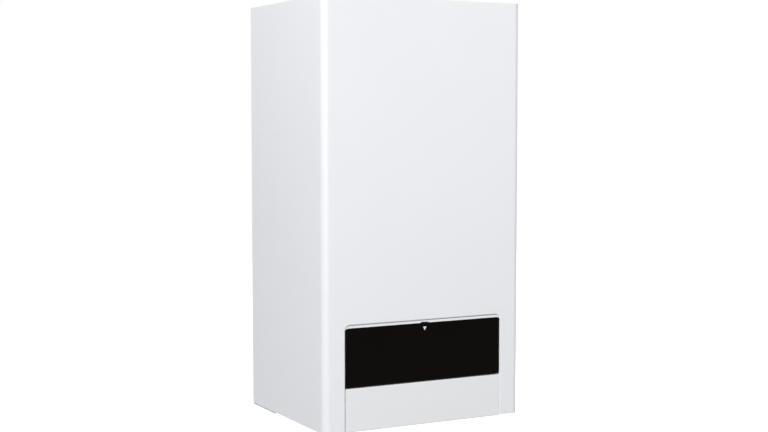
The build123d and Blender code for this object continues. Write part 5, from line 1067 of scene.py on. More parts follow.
@cache
def rod_ring() -> GrowingTree:
    """Tree of round rods that stand side by side round an axis, as a grip's ribs do.

    Returns:
        The tree.
    """
    tree = GrowingTree("rod_ring", counted("Radius", "Rod Radius", "Rod Length"))
    places = tree.on_circle(tree.value("Radius"), tree.share_of_turn())
    rod = tree.node("GeometryNodeMeshCylinder")
    rod.inputs["Vertices"].default_value = ROD_SIDES
    tree.feed(rod.inputs["Radius"], tree.value("Rod Radius"))
    tree.feed(rod.inputs["Depth"], tree.value("Rod Length"))
    tree.close(tree.copies(rod.outputs["Mesh"], places, tree.vector(math.pi / 2, 0.0, 0.0)))
    return tree


@cache
def dome_row() -> GrowingTree:
    """Tree of low domes in a straight row, for weld points and screw heads.

    Returns:
        The tree.
    """
    tree = GrowingTree("dome_row", {**counted("Radius", "Rise"), "Step": Kind.VECTOR})
    places = tree.node("ShaderNodeVectorMath")
    places.operation = "SCALE"
    tree.feed(places.inputs[0], tree.value("Step"))
    tree.feed(places.inputs["Scale"], tree.number())
    ball = tree.node("GeometryNodeMeshUVSphere")
    ball.inputs["Segments"].default_value = DOME_SEGMENTS
    ball.inputs["Rings"].default_value = DOME_RINGS
    tree.feed(ball.inputs["Radius"], tree.value("Radius"))
    flat = tree.calc("DIVIDE", tree.value("Rise"), tree.value("Radius"))
    forwards = tree.vector(math.pi / 2, 0.0, 0.0)
    tree.close(tree.copies(ball.outputs["Mesh"], places.outputs["Vector"], forwards,
                           tree.vector(1.0, 1.0, flat)))
    return tree


@cache
def cross_ring() -> GrowingTree:
    """Tree of crossed slots on a circle, one in each screw head; they are grown in a dark material that
    paints the shade of the recesses.

    Returns:
        The tree.
    """
    tree = GrowingTree("cross_ring", counted("Radius", "Start", "Length", "Width", "Depth"))
    angle = tree.calc("ADD", tree.value("Start"), tree.share_of_turn())
    long, wide, deep = tree.value("Length"), tree.value("Width"), tree.value("Depth")
    shallow = tree.calc("MULTIPLY", deep, SECOND_SLOT_DEPTH)
    crossed = tree.node("GeometryNodeJoinGeometry")
    for size in (tree.vector(long, deep, wide), tree.vector(wide, shallow, long)):
        tree.feed(crossed.inputs["Geometry"], tree.block(size))
    places = tree.on_circle(tree.value("Radius"), angle)
    tree.close(tree.copies(crossed.outputs["Geometry"], places, tree.vector(0.0, angle, 0.0)))
    return tree


def fused(name: str, meshes: Iterable[bpy.types.Mesh]) -> bpy.types.Mesh:
    """Several meshes as one.

    Args:
        name: Name of the new mesh.
        meshes: Meshes that go into it.

    Returns:
        The new mesh.
    """
    work = bmesh.new()
    for mesh in meshes:
        work.from_mesh(mesh)
    whole = bpy.data.meshes.new(name)
    work.to_mesh(whole)
    work.free()
    return whole


def lettering(text: str, height: float, at: Vector, depth: float) -> bpy.types.Mesh:
    """Raised letters or digits that face the front.

    Args:
        text: What is written.
        height: Height of the type in millimetres.
        at: Middle of the writing in metres.
        depth: Thickness of the letters in millimetres.

    Returns:
        The mesh in its place.
    """
    curve = bpy.data.curves.new(text, "FONT")
    curve.body = text
    curve.size = height * MM
    curve.extrude = depth * MM / 2
    curve.resolution_u = LETTER_STEPS
    curve.align_x = "CENTER"
    curve.align_y = "CENTER"
    holder = bpy.data.objects.new(text, curve)
    bpy.context.scene.collection.objects.link(holder)
    written = holder.evaluated_get(bpy.context.evaluated_depsgraph_get())
    mesh = bpy.data.meshes.new_from_object(written)
    bpy.data.objects.remove(holder)
    mesh.materials.clear()
    work = bmesh.new()
    work.from_mesh(mesh)
    bmesh.ops.remove_doubles(work, verts=work.verts, dist=WELD_DISTANCE * MM)
    work.to_mesh(mesh)
    work.free()
    mesh.transform(Matrix.Translation(at) @ Matrix.Rotation(math.pi / 2, 4, "X"))
    return mesh


def clock(x: float, z: float, radius: float, angle: float) -> Point:
    """A point on a circle, as the tip of a clock's hand.

    Args:
        x: Middle of the circle across.
        z: Middle of the circle in height.
        radius: Radius of the circle.
        angle: Degrees clockwise from the top.

    Returns:
        The point across and in height.
    """
    turn = math.radians(angle)
    return (x + radius * math.sin(turn), z + radius * math.cos(turn))


def spaced(first: float, last: float, steps: int) -> list[float]:
    """Evenly spaced numbers.

    Args:
        first: First number.
        last: Last number.
        steps: How many steps lie between them.

    Returns:
        The numbers, the first and the last among them.
    """
    return [first + (last - first) * i / steps for i in range(steps + 1)]


class PlateWork:
    """Flat shapes cut to outlines, all between the same two depths, gathered in one mesh."""

    def __init__(self, near: float, far: float) -> None:
        """Start an empty mesh.

        Args:
            near: Depth of the front face in millimetres.
            far: Depth of the rear face in millimetres.
        """
        self.near = near
        self.far = far
        self.work = bmesh.new()

    def cut(self, outline: Iterable[Point]) -> None:
        """Add a plate.

        Args:
            outline: Corners in millimetres to the right and above the casing's bottom edge.
        """
        corners = list(outline)
        front = [self.work.verts.new(place(x, self.near, z)) for x, z in corners]
        rear = [self.work.verts.new(place(x, self.far, z)) for x, z in corners]
        self.work.faces.new(front)
        self.work.faces.new(reversed(rear))
        for i in range(len(corners)):
            k = (i + 1) % len(corners)
            self.work.faces.new((front[i], rear[i], rear[k], front[k]))

    def bar(self, x: float, z: float, width: float, height: float) -> None:
        """Add an upright rectangle around its middle.

        Args:
            x: Middle across.
            z: Middle above the casing's bottom edge.
            width: Width.
            height: Height.
        """
        sides = ((-1, -1), (1, -1), (1, 1), (-1, 1))
        self.cut([(x + i * width / 2, z + k * height / 2) for i, k in sides])

    def band(self, x: float, z: float, inner: float, outer: float, start: float, end: float) -> None:
        """Add a piece of a flat ring.

        Args:
            x: Middle across.
            z: Middle above the casing's bottom edge.
            inner: Inner radius.
            outer: Outer radius.
            start: First angle in degrees, clockwise from the top.
            end: Last angle in degrees.
        """
        angles = spaced(start, end, max(BAND_STEPS_LEAST, round((end - start) / BAND_STEP)))
        rim = [clock(x, z, outer, angle) for angle in angles]
        bore = [clock(x, z, inner, angle) for angle in reversed(angles)]
        self.cut(rim + bore)

    def ring(self, x: float, z: float, inner: float, outer: float) -> None:
        """Add a whole flat ring, as two halves.

        Args:
            x: Middle across.
            z: Middle above the casing's bottom edge.
            inner: Inner radius.
            outer: Outer radius.
        """
        for start in (0, 180):
            self.band(x, z, inner, outer, start, start + 180)

    def radiator(self, x: float, z: float, size: float) -> None:
        """Add the sign of a radiator: five columns held by two rails.

        Args:
            x: Middle across.
            z: Middle above the casing's bottom edge.
            size: Height of a column.
        """
        pitch, column = RADIATOR_PITCH * size, RADIATOR_COLUMN * size
        for i in range(RADIATOR_COLUMNS):
            self.bar(x + (i - (RADIATOR_COLUMNS - 1) / 2) * pitch, z, column, size)
        for i in range(RADIATOR_COLUMNS - 1):
            for level in (-RADIATOR_RAIL_LEVEL, RADIATOR_RAIL_LEVEL):
                middle = x + (i - (RADIATOR_COLUMNS - 2) / 2) * pitch
                self.bar(middle, z + level * size, pitch - column, RADIATOR_RAIL * size)

    def drop(self, x: float, z: float, radius: float) -> None:
        """Add a water drop with its tip up.

        Args:
            x: Middle across.
            z: Middle of the round part above the casing's bottom edge.
            radius: Radius of the round part.
        """
        angles = spaced(DROP_SHOULDER, 360 - DROP_SHOULDER, DROP_STEPS)
        self.cut([(x, z + DROP_TIP * radius)] + [clock(x, z, radius, angle) for angle in angles])

    def take(self, name: str) -> bpy.types.Mesh:
        """Hand over the mesh.

        Args:
            name: Name of the mesh.

        Returns:
            The finished mesh, with its faces outwards.
        """
        bmesh.ops.recalc_face_normals(self.work, faces=self.work.faces)
        mesh = bpy.data.meshes.new(name)
        self.work.to_mesh(mesh)
        self.work.free()
        return mesh


def turned(name: str, at: Vector, profile: Iterable[Pair]) -> bpy.types.Mesh:
    """A shape turned about an upright axis, closed at both ends.

    Args:
        name: Name of the mesh.
        at: Foot of the axis in metres.
        profile: Radius and height of each ring in millimetres, from the foot up.

    Returns:
        The mesh.
    """
    work = bmesh.new()
    turns = [math.tau * i / TURNED_SIDES for i in range(TURNED_SIDES)]
    rings = []
    for radius, height in profile:
        spots = [Vector((radius * math.cos(a), radius * math.sin(a), height)) * MM + at for a in turns]
        rings.append([work.verts.new(spot) for spot in spots])
    for low, high in zip(rings, rings[1:]):
        for i in range(TURNED_SIDES):
            k = (i + 1) % TURNED_SIDES
            work.faces.new((low[i], low[k], high[k], high[i]))
    work.faces.new(reversed(rings[0]))
    work.faces.new(rings[-1])
    bmesh.ops.recalc_face_normals(work, faces=work.faces)
    mesh = bpy.data.meshes.new(name)
    work.to_mesh(mesh)
    work.free()
    return mesh


class Fitter:
    """Hangs finished meshes on the boiler's bodies."""

    def __init__(self, palette: Palette) -> None:
        """Keep the palette that the pieces are finished from."""
        self.palette = palette

    def fit(self, mesh: bpy.types.Mesh, name: str, body: Body, slot: str, finish: Finish) -> None:
        """Make a mesh a piece of the boiler.

        Args:
            mesh: Mesh in its place.
            name: Name of the piece.
            body: Body that the piece moves with.
            slot: Material slot of the record; not used.
            finish: Finish of the piece.
        """
        mesh.materials.clear()
        mesh.materials.append(self.palette.material(finish))
        mesh.polygons.foreach_set("material_index", [0] * len(mesh.polygons))
        piece = bpy.data.objects.new(name, mesh)
        bpy.context.scene.collection.objects.link(piece)
        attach(piece, body.value)
        log.info("fitted %s on %s: %d faces", name, body.value, len(mesh.polygons))


# ---------------------------------------------------------------- marks and small trim
FACING_FRONT = Vector((0.0, 0.0, 0.0))
FACING_UP = Vector((-math.pi / 2, 0.0, 0.0))
FACING_DOWN = Vector((math.pi / 2, 0.0, 0.0))
FACING_SIDE = Vector((0.0, 0.0, math.pi / 2))

INK = 0.12
RIB_RADIUS = 0.45
STOP_ANGLE = 135.0
SCALE_TURN = {"start": math.radians(-STOP_ANGLE), "sweep": math.radians(2 * STOP_ANGLE)}
FASCIA_FRONT = reach("control_fascia").front
CONTROL_LEVEL = reach("heating_dial").z
FLUE_DEPTH = reach("flue_collar").y


@dataclass
class PressureGauge:
    """Printed scale of the pressure gauge, behind its glass."""

    fitter: Fitter
    x: float = reach("gauge_body").x
    face: float = reach("gauge_body").front + 5.5
    top_bar: int = 4
    rim: float = 17.4
    long_line: Pair = (3.0, 0.5)  # length and width
    short_line: Pair = (1.7, 0.26)  # length and width
    short_lines_per_bar: int = 5
    number_radius: float = 11.4
    number_height: float = 4.2
    unit_height: float = 3.6
    unit_drop: float = 9.5
    zone_reach: Pair = (-1.2, 0.6)  # from the rim, inwards and outwards
    zone_ink: float = 0.8 * INK
    working_bars: Pair = (1.0, 2.0)
    high_bars: Pair = (3.0, 4.0)

    def angle(self, bar: float) -> float:
        """Angle of a pressure, in degrees clockwise from the top."""
        return -STOP_ANGLE + 2 * STOP_ANGLE * bar / self.top_bar

    def lines(self, per_bar: int, line: Pair) -> bpy.types.Mesh:
        """Lines of one size round the scale.

        Args:
            per_bar: How many steps there are for each bar.
            line: Length and width of a line.

        Returns:
            The lines.
        """
        length, width = line
        dark = self.fitter.palette.material(INK_DARK)
        at = place(self.x, self.face - INK / 2, CONTROL_LEVEL)
        sizes = metres(radius=self.rim - length, length=length, width=width, depth=INK)
        return bar_fan().grow(dark, at, FACING_FRONT, count=self.top_bar * per_bar + 1, growth=0.0,
                              **sizes, **SCALE_TURN)

    def writing(self) -> list[bpy.types.Mesh]:
        """Numbers of the scale and its unit.

        Returns:
            The meshes of the writing.
        """
        depth = self.face - INK / 2
        written = []
        for bar in range(self.top_bar + 1):
            across, up = clock(self.x, CONTROL_LEVEL, self.number_radius, self.angle(bar))
            written.append(lettering(str(bar), self.number_height, place(across, depth, up), INK))
        at = place(self.x, depth, CONTROL_LEVEL - self.unit_drop)
        return [*written, lettering("bar", self.unit_height, at, INK)]

    def scale(self) -> None:
        """Long and short lines of the scale, with its writing."""
        parts = [self.lines(1, self.long_line), self.lines(self.short_lines_per_bar, self.short_line)]
        mesh = fused("gauge_scale", parts + self.writing())
        self.fitter.fit(mesh, "gauge_scale", Body.CONTROL_UNIT, "gauge_case", INK_DARK)

    def zone(self, name: str, bars: Pair, finish: Finish) -> None:
        """Coloured arc between two pressures.

        Args:
            name: Name of the piece.
            bars: Lower and higher pressure in bar.
            finish: Finish of the arc.
        """
        plates = PlateWork(self.face - self.zone_ink, self.face)
        inner, outer = (self.rim + step for step in self.zone_reach)
        plates.band(self.x, CONTROL_LEVEL, inner, outer, *map(self.angle, bars))
        self.fitter.fit(plates.take(name), name, Body.CONTROL_UNIT, "gauge_case", finish)

    def build(self) -> None:
        """Make the scale and its zones."""
        self.scale()
        self.zone("gauge_working_zone", self.working_bars, INK_GREEN)
        self.zone("gauge_high_zone", self.high_bars, INK_RED)


@dataclass
class Dial:
    """Marks round and on one of the two turning dials; the body has the name of its piece."""

    fitter: Fitter
    body: Body
    for_water: bool
    lines: int = 19
    line: Pair = (1.2, 0.55)  # length and width
    line_gap: float = 1.2
    line_growth: float = 1.6
    sign_drop: float = 5.2
    radiator_size: float = 4.6
    drop_radius: float = 1.9
    drop_sink: float = 0.6
    groove: float = 0.6
    groove_ink: float = 0.15
    pointer_size: Pair = (1.1, 16.0)  # width and height
    pointer_rise: float = 8.8
    ribs: int = 48
    rib_depths: Pair = (4.6, 0.8)  # in front of the fascia, near and far end
    rib_sink: float = 0.1

    @property
    def grip(self) -> Reach:
        """How far the dial reaches."""
        return reach(self.body.value)

    @property
    def radius(self) -> float:
        """Radius of the dial's skirt."""
        return (self.grip.top - self.grip.foot) / 2

    def scale(self) -> None:
        """Lines on the fascia that grow from the dial's lowest to its highest setting."""
        length, width = self.line
        white = self.fitter.palette.material(INK_WHITE)
        at = place(self.grip.x, FASCIA_FRONT - INK / 2, CONTROL_LEVEL)
        sizes = metres(radius=self.radius + self.line_gap, length=length, width=width, depth=INK)
        lines = bar_fan().grow(white, at, FACING_FRONT, count=self.lines, growth=self.line_growth,
                               **sizes, **SCALE_TURN)
        plates = PlateWork(FASCIA_FRONT - INK, FASCIA_FRONT)
        foot = CONTROL_LEVEL - self.radius - self.sign_drop
        if self.for_water:
            plates.drop(self.grip.x, foot - self.drop_sink, self.drop_radius)
        else:
            plates.radiator(self.grip.x, foot, self.radiator_size)
        name = self.body.value + "_scale"
        mesh = fused(name, [lines, plates.take("sign")])
        self.fitter.fit(mesh, name, Body.CONTROL_UNIT, "fascia_grey", INK_WHITE)

    def pointer(self) -> None:
        """Ink in the groove of the grip."""
        floor = self.grip.front + self.groove
        plates = PlateWork(floor - self.groove_ink, floor)
        plates.bar(self.grip.x, CONTROL_LEVEL + self.pointer_rise, *self.pointer_size)
        name = self.body.value + "_pointer"
        self.fitter.fit(plates.take(name), name, self.body, "dial_white", INK_DARK)

    def rim(self) -> None:
        """Fine ribs round the dial's edge."""
        satin = self.fitter.palette.material(DIAL_SATIN)
        near, back = (FASCIA_FRONT - depth for depth in self.rib_depths)
        at = place(self.grip.x, (near + back) / 2, CONTROL_LEVEL)
        sizes = metres(radius=self.radius - self.rib_sink, rod_radius=RIB_RADIUS, rod_length=back - near)
        ribs = rod_ring().grow(satin, at, FACING_FRONT, count=self.ribs, **sizes)
        self.fitter.fit(ribs, self.body.value + "_ribs", self.body, "dial_white", DIAL_SATIN)

    def build(self) -> None:
        """Make all marks of the dial."""
        self.scale()
        self.pointer()
        self.rim()


class Stroke(Enum):
    """Strokes of a seven-stroke digit: half widths across, quarter heights up, and whether upright."""

    TOP = (0, 2, False)
    UPPER_RIGHT = (1, 1, True)
    LOWER_RIGHT = (1, -1, True)
    FOOT = (0, -2, False)
    LOWER_LEFT = (-1, -1, True)
    UPPER_LEFT = (-1, 1, True)
    MIDDLE = (0, 0, False)


LEFT_OUT: dict[str, Stroke] = {"0": Stroke.MIDDLE, "6": Stroke.UPPER_RIGHT}


@dataclass
class Display:
    """Liquid-crystal display behind its window; offsets are from the display's middle."""

    fitter: Fitter
    x: float = reach("info_button").x
    z: float = 156.0
    width: float = 62.0
    height: float = 30.0
    corner_radius: float = 1.5
    corner_steps: int = 4
    back: float = reach("control_windows").back
    panel_thickness: float = 0.15
    ink: float = 0.15
    shown: str = "60"
    first_digit: float = -8.0
    digit_gap: float = 2.0
    digit_width: float = 9.0
    digit_height: float = 17.0
    stroke: float = 2.0
    stroke_gap: float = 0.4
    degree_at: Point = (14.0, 6.8)
    degree_radii: Pair = (1.0, 1.7)  # inner and outer
    unit_at: Point = (19.5, 5.2)
    unit_height: float = 8.0
    radiator: Triple = (-24.0, 6.0, 5.0)  # across, up and size
    drop: Triple = (-24.0, -7.4, 2.3)  # across, up and radius

    def panel(self) -> None:
        """Softly lit panel with rounded corners."""
        plates = PlateWork(self.back - self.panel_thickness, self.back)
        across, up = self.width / 2 - self.corner_radius, self.height / 2 - self.corner_radius
        corners = []
        for i, (side, rise) in enumerate(((1, 1), (1, -1), (-1, -1), (-1, 1))):
            x, z = self.x + side * across, self.z + rise * up
            angles = spaced(90 * i, 90 * (i + 1), self.corner_steps)
            corners += [clock(x, z, self.corner_radius, angle) for angle in angles]
        plates.cut(corners)
        mesh = plates.take("panel")
        self.fitter.fit(mesh, "display_panel", Body.CONTROL_UNIT, "clear_window", DISPLAY_LIT)

    def stroke_outline(self, x: float, z: float, length: float, upright: bool) -> list[Point]:
        """Pointed bar of a seven-stroke digit.

        Args:
            x: Middle across.
            z: Middle up.
            length: Length from tip to tip.
            upright: True for an upright bar.

        Returns:
            The bar's corners.
        """
        half, thick = length / 2, self.stroke / 2
        lying = [(-half, 0.0), (-half + thick, thick), (half - thick, thick),
                 (half, 0.0), (half - thick, -thick), (-half + thick, -thick)]
        return [(x + (v if upright else u), z + (u if upright else v)) for u, v in lying]

    def digit(self, plates: PlateWork, shown: str, middle: float) -> None:
        """Strokes of one digit.

        Args:
            plates: Where the strokes are cut.
            shown: The digit.
            middle: Middle of the digit across.
        """
        half, rise = self.digit_width / 2, self.digit_height / 4
        for stroke in Stroke:
            if stroke is not LEFT_OUT[shown]:
                side, level, upright = stroke.value
                length = (2 * rise if upright else self.digit_width) - self.stroke_gap
                plates.cut(self.stroke_outline(middle + side * half, self.z + level * rise, length, upright))

    def writing(self) -> None:
        """Digits with their unit, and the signs of heating and hot water beside them."""
        ink_back = self.back - self.panel_thickness
        plates = PlateWork(ink_back - self.ink, ink_back)
        pitch = self.digit_width + self.stroke + self.digit_gap
        for i, shown in enumerate(self.shown):
            self.digit(plates, shown, self.x + self.first_digit + i * pitch)
        across, up = self.degree_at
        plates.ring(self.x + across, self.z + up, *self.degree_radii)
        for sign, (across, up, size) in ((plates.radiator, self.radiator), (plates.drop, self.drop)):
            sign(self.x + across, self.z + up, size)
        across, up = self.unit_at
        at = place(self.x + across, ink_back - self.ink / 2, self.z + up)
        unit = lettering("C", self.unit_height, at, self.ink)
        mesh = fused("digits", [plates.take("strokes"), unit])
        self.fitter.fit(mesh, "display_digits", Body.CONTROL_UNIT, "clear_window", DISPLAY_DARK)

    def build(self) -> None:
        """Make the display."""
        self.panel()
        self.writing()


@dataclass
class Keys:
    """Marks on the two keys, the power switch and the flap."""

    fitter: Fitter
    info: Reach = reach("info_button")
    info_stroke: Triple = (-0.7, 0.9, 2.9)  # rise, width and height
    info_dot: Triple = (1.8, 0.95, 0.95)  # rise, width and height
    reset: Reach = reach("reset_button")
    arrow_radii: Pair = (2.7, 3.5)  # inner and outer
    arrow_angles: Pair = (-130.0, 149.0)  # tail and neck, clockwise from the top
    arrow_head: Triple = (150.0, 1.5, 2.4)  # angle, half width and length
    switch_x: float = reach("switch_frame").x
    switch_on: Triple = (7.0, 0.9, 4.2)  # rise, width and height
    switch_off: Triple = (-7.0, 1.5, 2.2)  # rise, inner and outer radius
    axle: float = -338.0
    dish_from_axle: float = 3.0
    dish_radius: float = 60.0
    rocker_tilt: float = -8.0
    flap_front: float = reach("control_flap").front
    flap_mark: Triple = (8.0, 190.0, 197.5)  # width, tip and top

    def info_mark(self) -> None:
        """Upright stroke and dot on the key under the display."""
        plates = PlateWork(self.info.front - INK, self.info.front)
        for rise, width, height in (self.info_stroke, self.info_dot):
            plates.bar(self.info.x, self.info.z + rise, width, height)
        self.fitter.fit(plates.take("info"), "info_mark", Body.INFO_BUTTON, "key_white", INK_DARK)

    def reset_mark(self) -> None:
        """Round arrow on the reset key."""
        x, z = self.reset.x, CONTROL_LEVEL
        plates = PlateWork(self.reset.front - INK, self.reset.front)
        plates.band(x, z, *self.arrow_radii, *self.arrow_angles)
        angle, half, length = self.arrow_head
        middle = sum(self.arrow_radii) / 2
        tip = clock(*clock(x, z, middle, angle), length, angle + 90)
        plates.cut([clock(x, z, middle + half, angle), tip, clock(x, z, middle - half, angle)])
        self.fitter.fit(plates.take("reset"), "reset_mark", Body.RESET_BUTTON, "reset_orange", INK_WHITE)

    def switch_marks(self) -> None:
        """Stroke and ring that follow the rocker's dished face, for on and off."""
        dish = self.axle - self.dish_from_axle
        plates = PlateWork(dish - INK, dish + INK)
        rise, *stroke = self.switch_on
        plates.bar(self.switch_x, CONTROL_LEVEL + rise, *stroke)
        rise, *radii = self.switch_off
        plates.ring(self.switch_x, CONTROL_LEVEL + rise, *radii)
        mesh = plates.take("switch")
        middle = place(self.switch_x, self.axle, CONTROL_LEVEL)
        radius = self.dish_radius * MM
        for vertex in mesh.vertices:
            vertex.co.y -= radius - math.sqrt(radius ** 2 - (vertex.co.z - middle.z) ** 2)
        tilt = Matrix.Rotation(math.radians(self.rocker_tilt), 4, "X")
        mesh.transform(Matrix.Translation(middle) @ tilt @ Matrix.Translation(-middle))
        self.fitter.fit(mesh, "switch_marks", Body.POWER_SWITCH, "switch_black", INK_WHITE)

    def flap_triangle(self) -> None:
        """Small white triangle that points down the flap."""
        width, low, high = self.flap_mark
        plates = PlateWork(self.flap_front - INK, self.flap_front)
        plates.cut([(-width / 2, high), (width / 2, high), (0.0, low)])
        self.fitter.fit(plates.take("mark"), "flap_mark", Body.FLAP, "flap_black", INK_WHITE)

    def build(self) -> None:
        """Make all marks."""
        self.info_mark()
        self.reset_mark()
        self.switch_marks()
        self.flap_triangle()


@dataclass
class FlapSurround:
    """White corners of the front moulding that follow the flap's two rounded upper corners."""

    fitter: Fitter
    half: float = reach("control_flap").right
    flap_top: float = 204.5
    flap_corner: float = 4.0
    gap: float = 0.4
    lip_low: float = 205.3
    near: float = -359.5
    far: float = -351.0
    steps: int = 8

    def corner(self, side: int) -> list[Point]:
        """Outline of the corner on one side.

        Args:
            side: -1 for left, 1 for right.

        Returns:
            The outline's corners.
        """
        x, z = self.half - self.flap_corner, self.flap_top - self.flap_corner
        radius = self.flap_corner + self.gap
        widest = math.degrees(math.asin(self.flap_corner / radius))
        arc = [clock(x, z, radius, angle) for angle in spaced(widest, 0.0, self.steps)]
        return [(side * across, up) for across, up in [*arc, (x, self.lip_low), (self.half, self.lip_low)]]

    def build(self) -> None:
        """Make both corners."""
        plates = PlateWork(self.near, self.far)
        for side in (-1, 1):
            plates.cut(self.corner(side))
        mesh = plates.take("corners")
        self.fitter.fit(mesh, "flap_corners", Body.CONTROL_UNIT, "control_white", FRONT_MOULDING)


@dataclass
class Fastenings:
    """Crossed slots in the screw heads, dark as painted shade of their recesses, and weld points on the
    sheet.
    """

    fitter: Fitter
    casing_screws: Reach = reach("casing_screws")
    collar_circle: float = 65.4
    collar_count: int = 4
    collar_top: float = reach("chassis_screws").top
    slot_length: float = 4.6
    slot_width: float = 0.9
    slot_depth: float = 0.3
    weld_radius: float = 2.6
    weld_rise: float = 0.3
    upright_side: float = reach("side_uprights").right
    upright_y: float = -26.0
    upright_foot: float = 60.0
    upright_pitch: float = 80.0
    upright_welds: int = 10
    lid_front: float = reach("top_cover").front
    lid_level: float = 838.0
    lid_pitch: float = 62.0
    lid_welds: int = 7

    def slots(self, count: int, at: Vector, turn: Vector, circle: float, start: float) -> bpy.types.Mesh:
        """Crossed slots of a ring of screws, dark as painted shade of their recesses.

        Args:
            count: Number of screws.
            at: Middle of the circle on the heads' faces, in metres.
            turn: Rotation of the ring.
            circle: Radius of the circle in millimetres.
            start: Angle of the first screw in degrees.

        Returns:
            The slots in their place.
        """
        # The slots are near-black blocks, painted shade standing in for the cross recesses.
        dark = self.fitter.palette.material(SLOT_PAINTED_SHADE)
        sizes = metres(radius=circle, length=self.slot_length, width=self.slot_width, depth=self.slot_depth)
        return cross_ring().grow(dark, at, turn, count=count, start=math.radians(start), **sizes)

    def welds(self, at: Vector, turn: Vector, count: int, step: Vector) -> bpy.types.Mesh:
        """Row of weld points.

        Args:
            at: Place of the first point in metres.
            turn: Rotation of the row.
            count: Number of points.
            step: From one point to the next in millimetres, before the row is turned.

        Returns:
            The points in their place.
        """
        zinc = self.fitter.palette.material(GALVANISED)
        return dome_row().grow(zinc, at, turn, count=count, step=tuple(step * MM),
                               **metres(radius=self.weld_radius, rise=self.weld_rise))

    def weld_points(self) -> None:
        """Weld points down the outer sides of the uprights and along the lid's front flange."""
        rise, stride = Vector((0.0, 0.0, self.upright_pitch)), Vector((self.lid_pitch, 0.0, 0.0))
        feet = [place(side * self.upright_side, self.upright_y, self.upright_foot) for side in (-1, 1)]
        rows = [self.welds(foot, FACING_SIDE, self.upright_welds, rise) for foot in feet]
        first = place(-self.lid_pitch * (self.lid_welds - 1) / 2, self.lid_front, self.lid_level)
        rows.append(self.welds(first, FACING_FRONT, self.lid_welds, stride))
        self.fitter.fit(fused("weld_points", rows), "weld_points", Body.CHASSIS, "galvanised", GALVANISED)

    def build(self) -> None:
        """Make the weld points and the slots of the screws that can be seen, the slots dark as painted
        shade.
        """
        self.weld_points()
        heads = self.casing_screws
        across = heads.right - (heads.back - heads.front) / 2
        under = self.slots(2, place(0.0, heads.y, heads.foot), FACING_DOWN, across, 90.0)
        self.fitter.fit(under, "casing_screw_slots", Body.CASING, "zinc_screw", SLOT_PAINTED_SHADE)
        flue = place(0.0, FLUE_DEPTH, self.collar_top)
        above = self.slots(self.collar_count, flue, FACING_UP, self.collar_circle, 180.0 / self.collar_count)
        self.fitter.fit(above, "collar_screw_slots", Body.CHASSIS, "zinc_screw", SLOT_PAINTED_SHADE)


@dataclass
class TestPoints:
    """Ribbed caps of the two test points beside the flue."""

    fitter: Fitter
    across: float = 64.0
    foot: float = 857.4
    profile: tuple[Pair, ...] = ((5.8, 0.0), (6.2, 0.4), (6.2, 3.6), (5.7, 4.5), (5.0, 4.8), (3.6, 4.7),
                                  (3.2, 4.1))
    ribs: int = 20
    rib_radius: float = 6.2
    rib_heights: Pair = (0.4, 3.4)

    def cap(self, side: int) -> list[bpy.types.Mesh]:
        """Cap and its ribs on one side.

        Args:
            side: -1 for left, 1 for right.

        Returns:
            The meshes of the cap.
        """
        at = place(side * self.across, FLUE_DEPTH, self.foot)
        low, high = self.rib_heights
        middle = at + Vector((0.0, 0.0, (low + high) / 2)) * MM
        black = self.fitter.palette.material(GLAND_BLACK)
        sizes = metres(radius=self.rib_radius, rod_radius=RIB_RADIUS, rod_length=high - low)
        ribs = rod_ring().grow(black, middle, FACING_UP, count=self.ribs, **sizes)
        return [turned("cap", at, self.profile), ribs]

    def build(self) -> None:
        """Make both caps."""
        mesh = fused("test_caps", [mesh for side in (-1, 1) for mesh in self.cap(side)])
        self.fitter.fit(mesh, "test_point_caps", Body.CHASSIS, "gland_black", GLAND_BLACK)


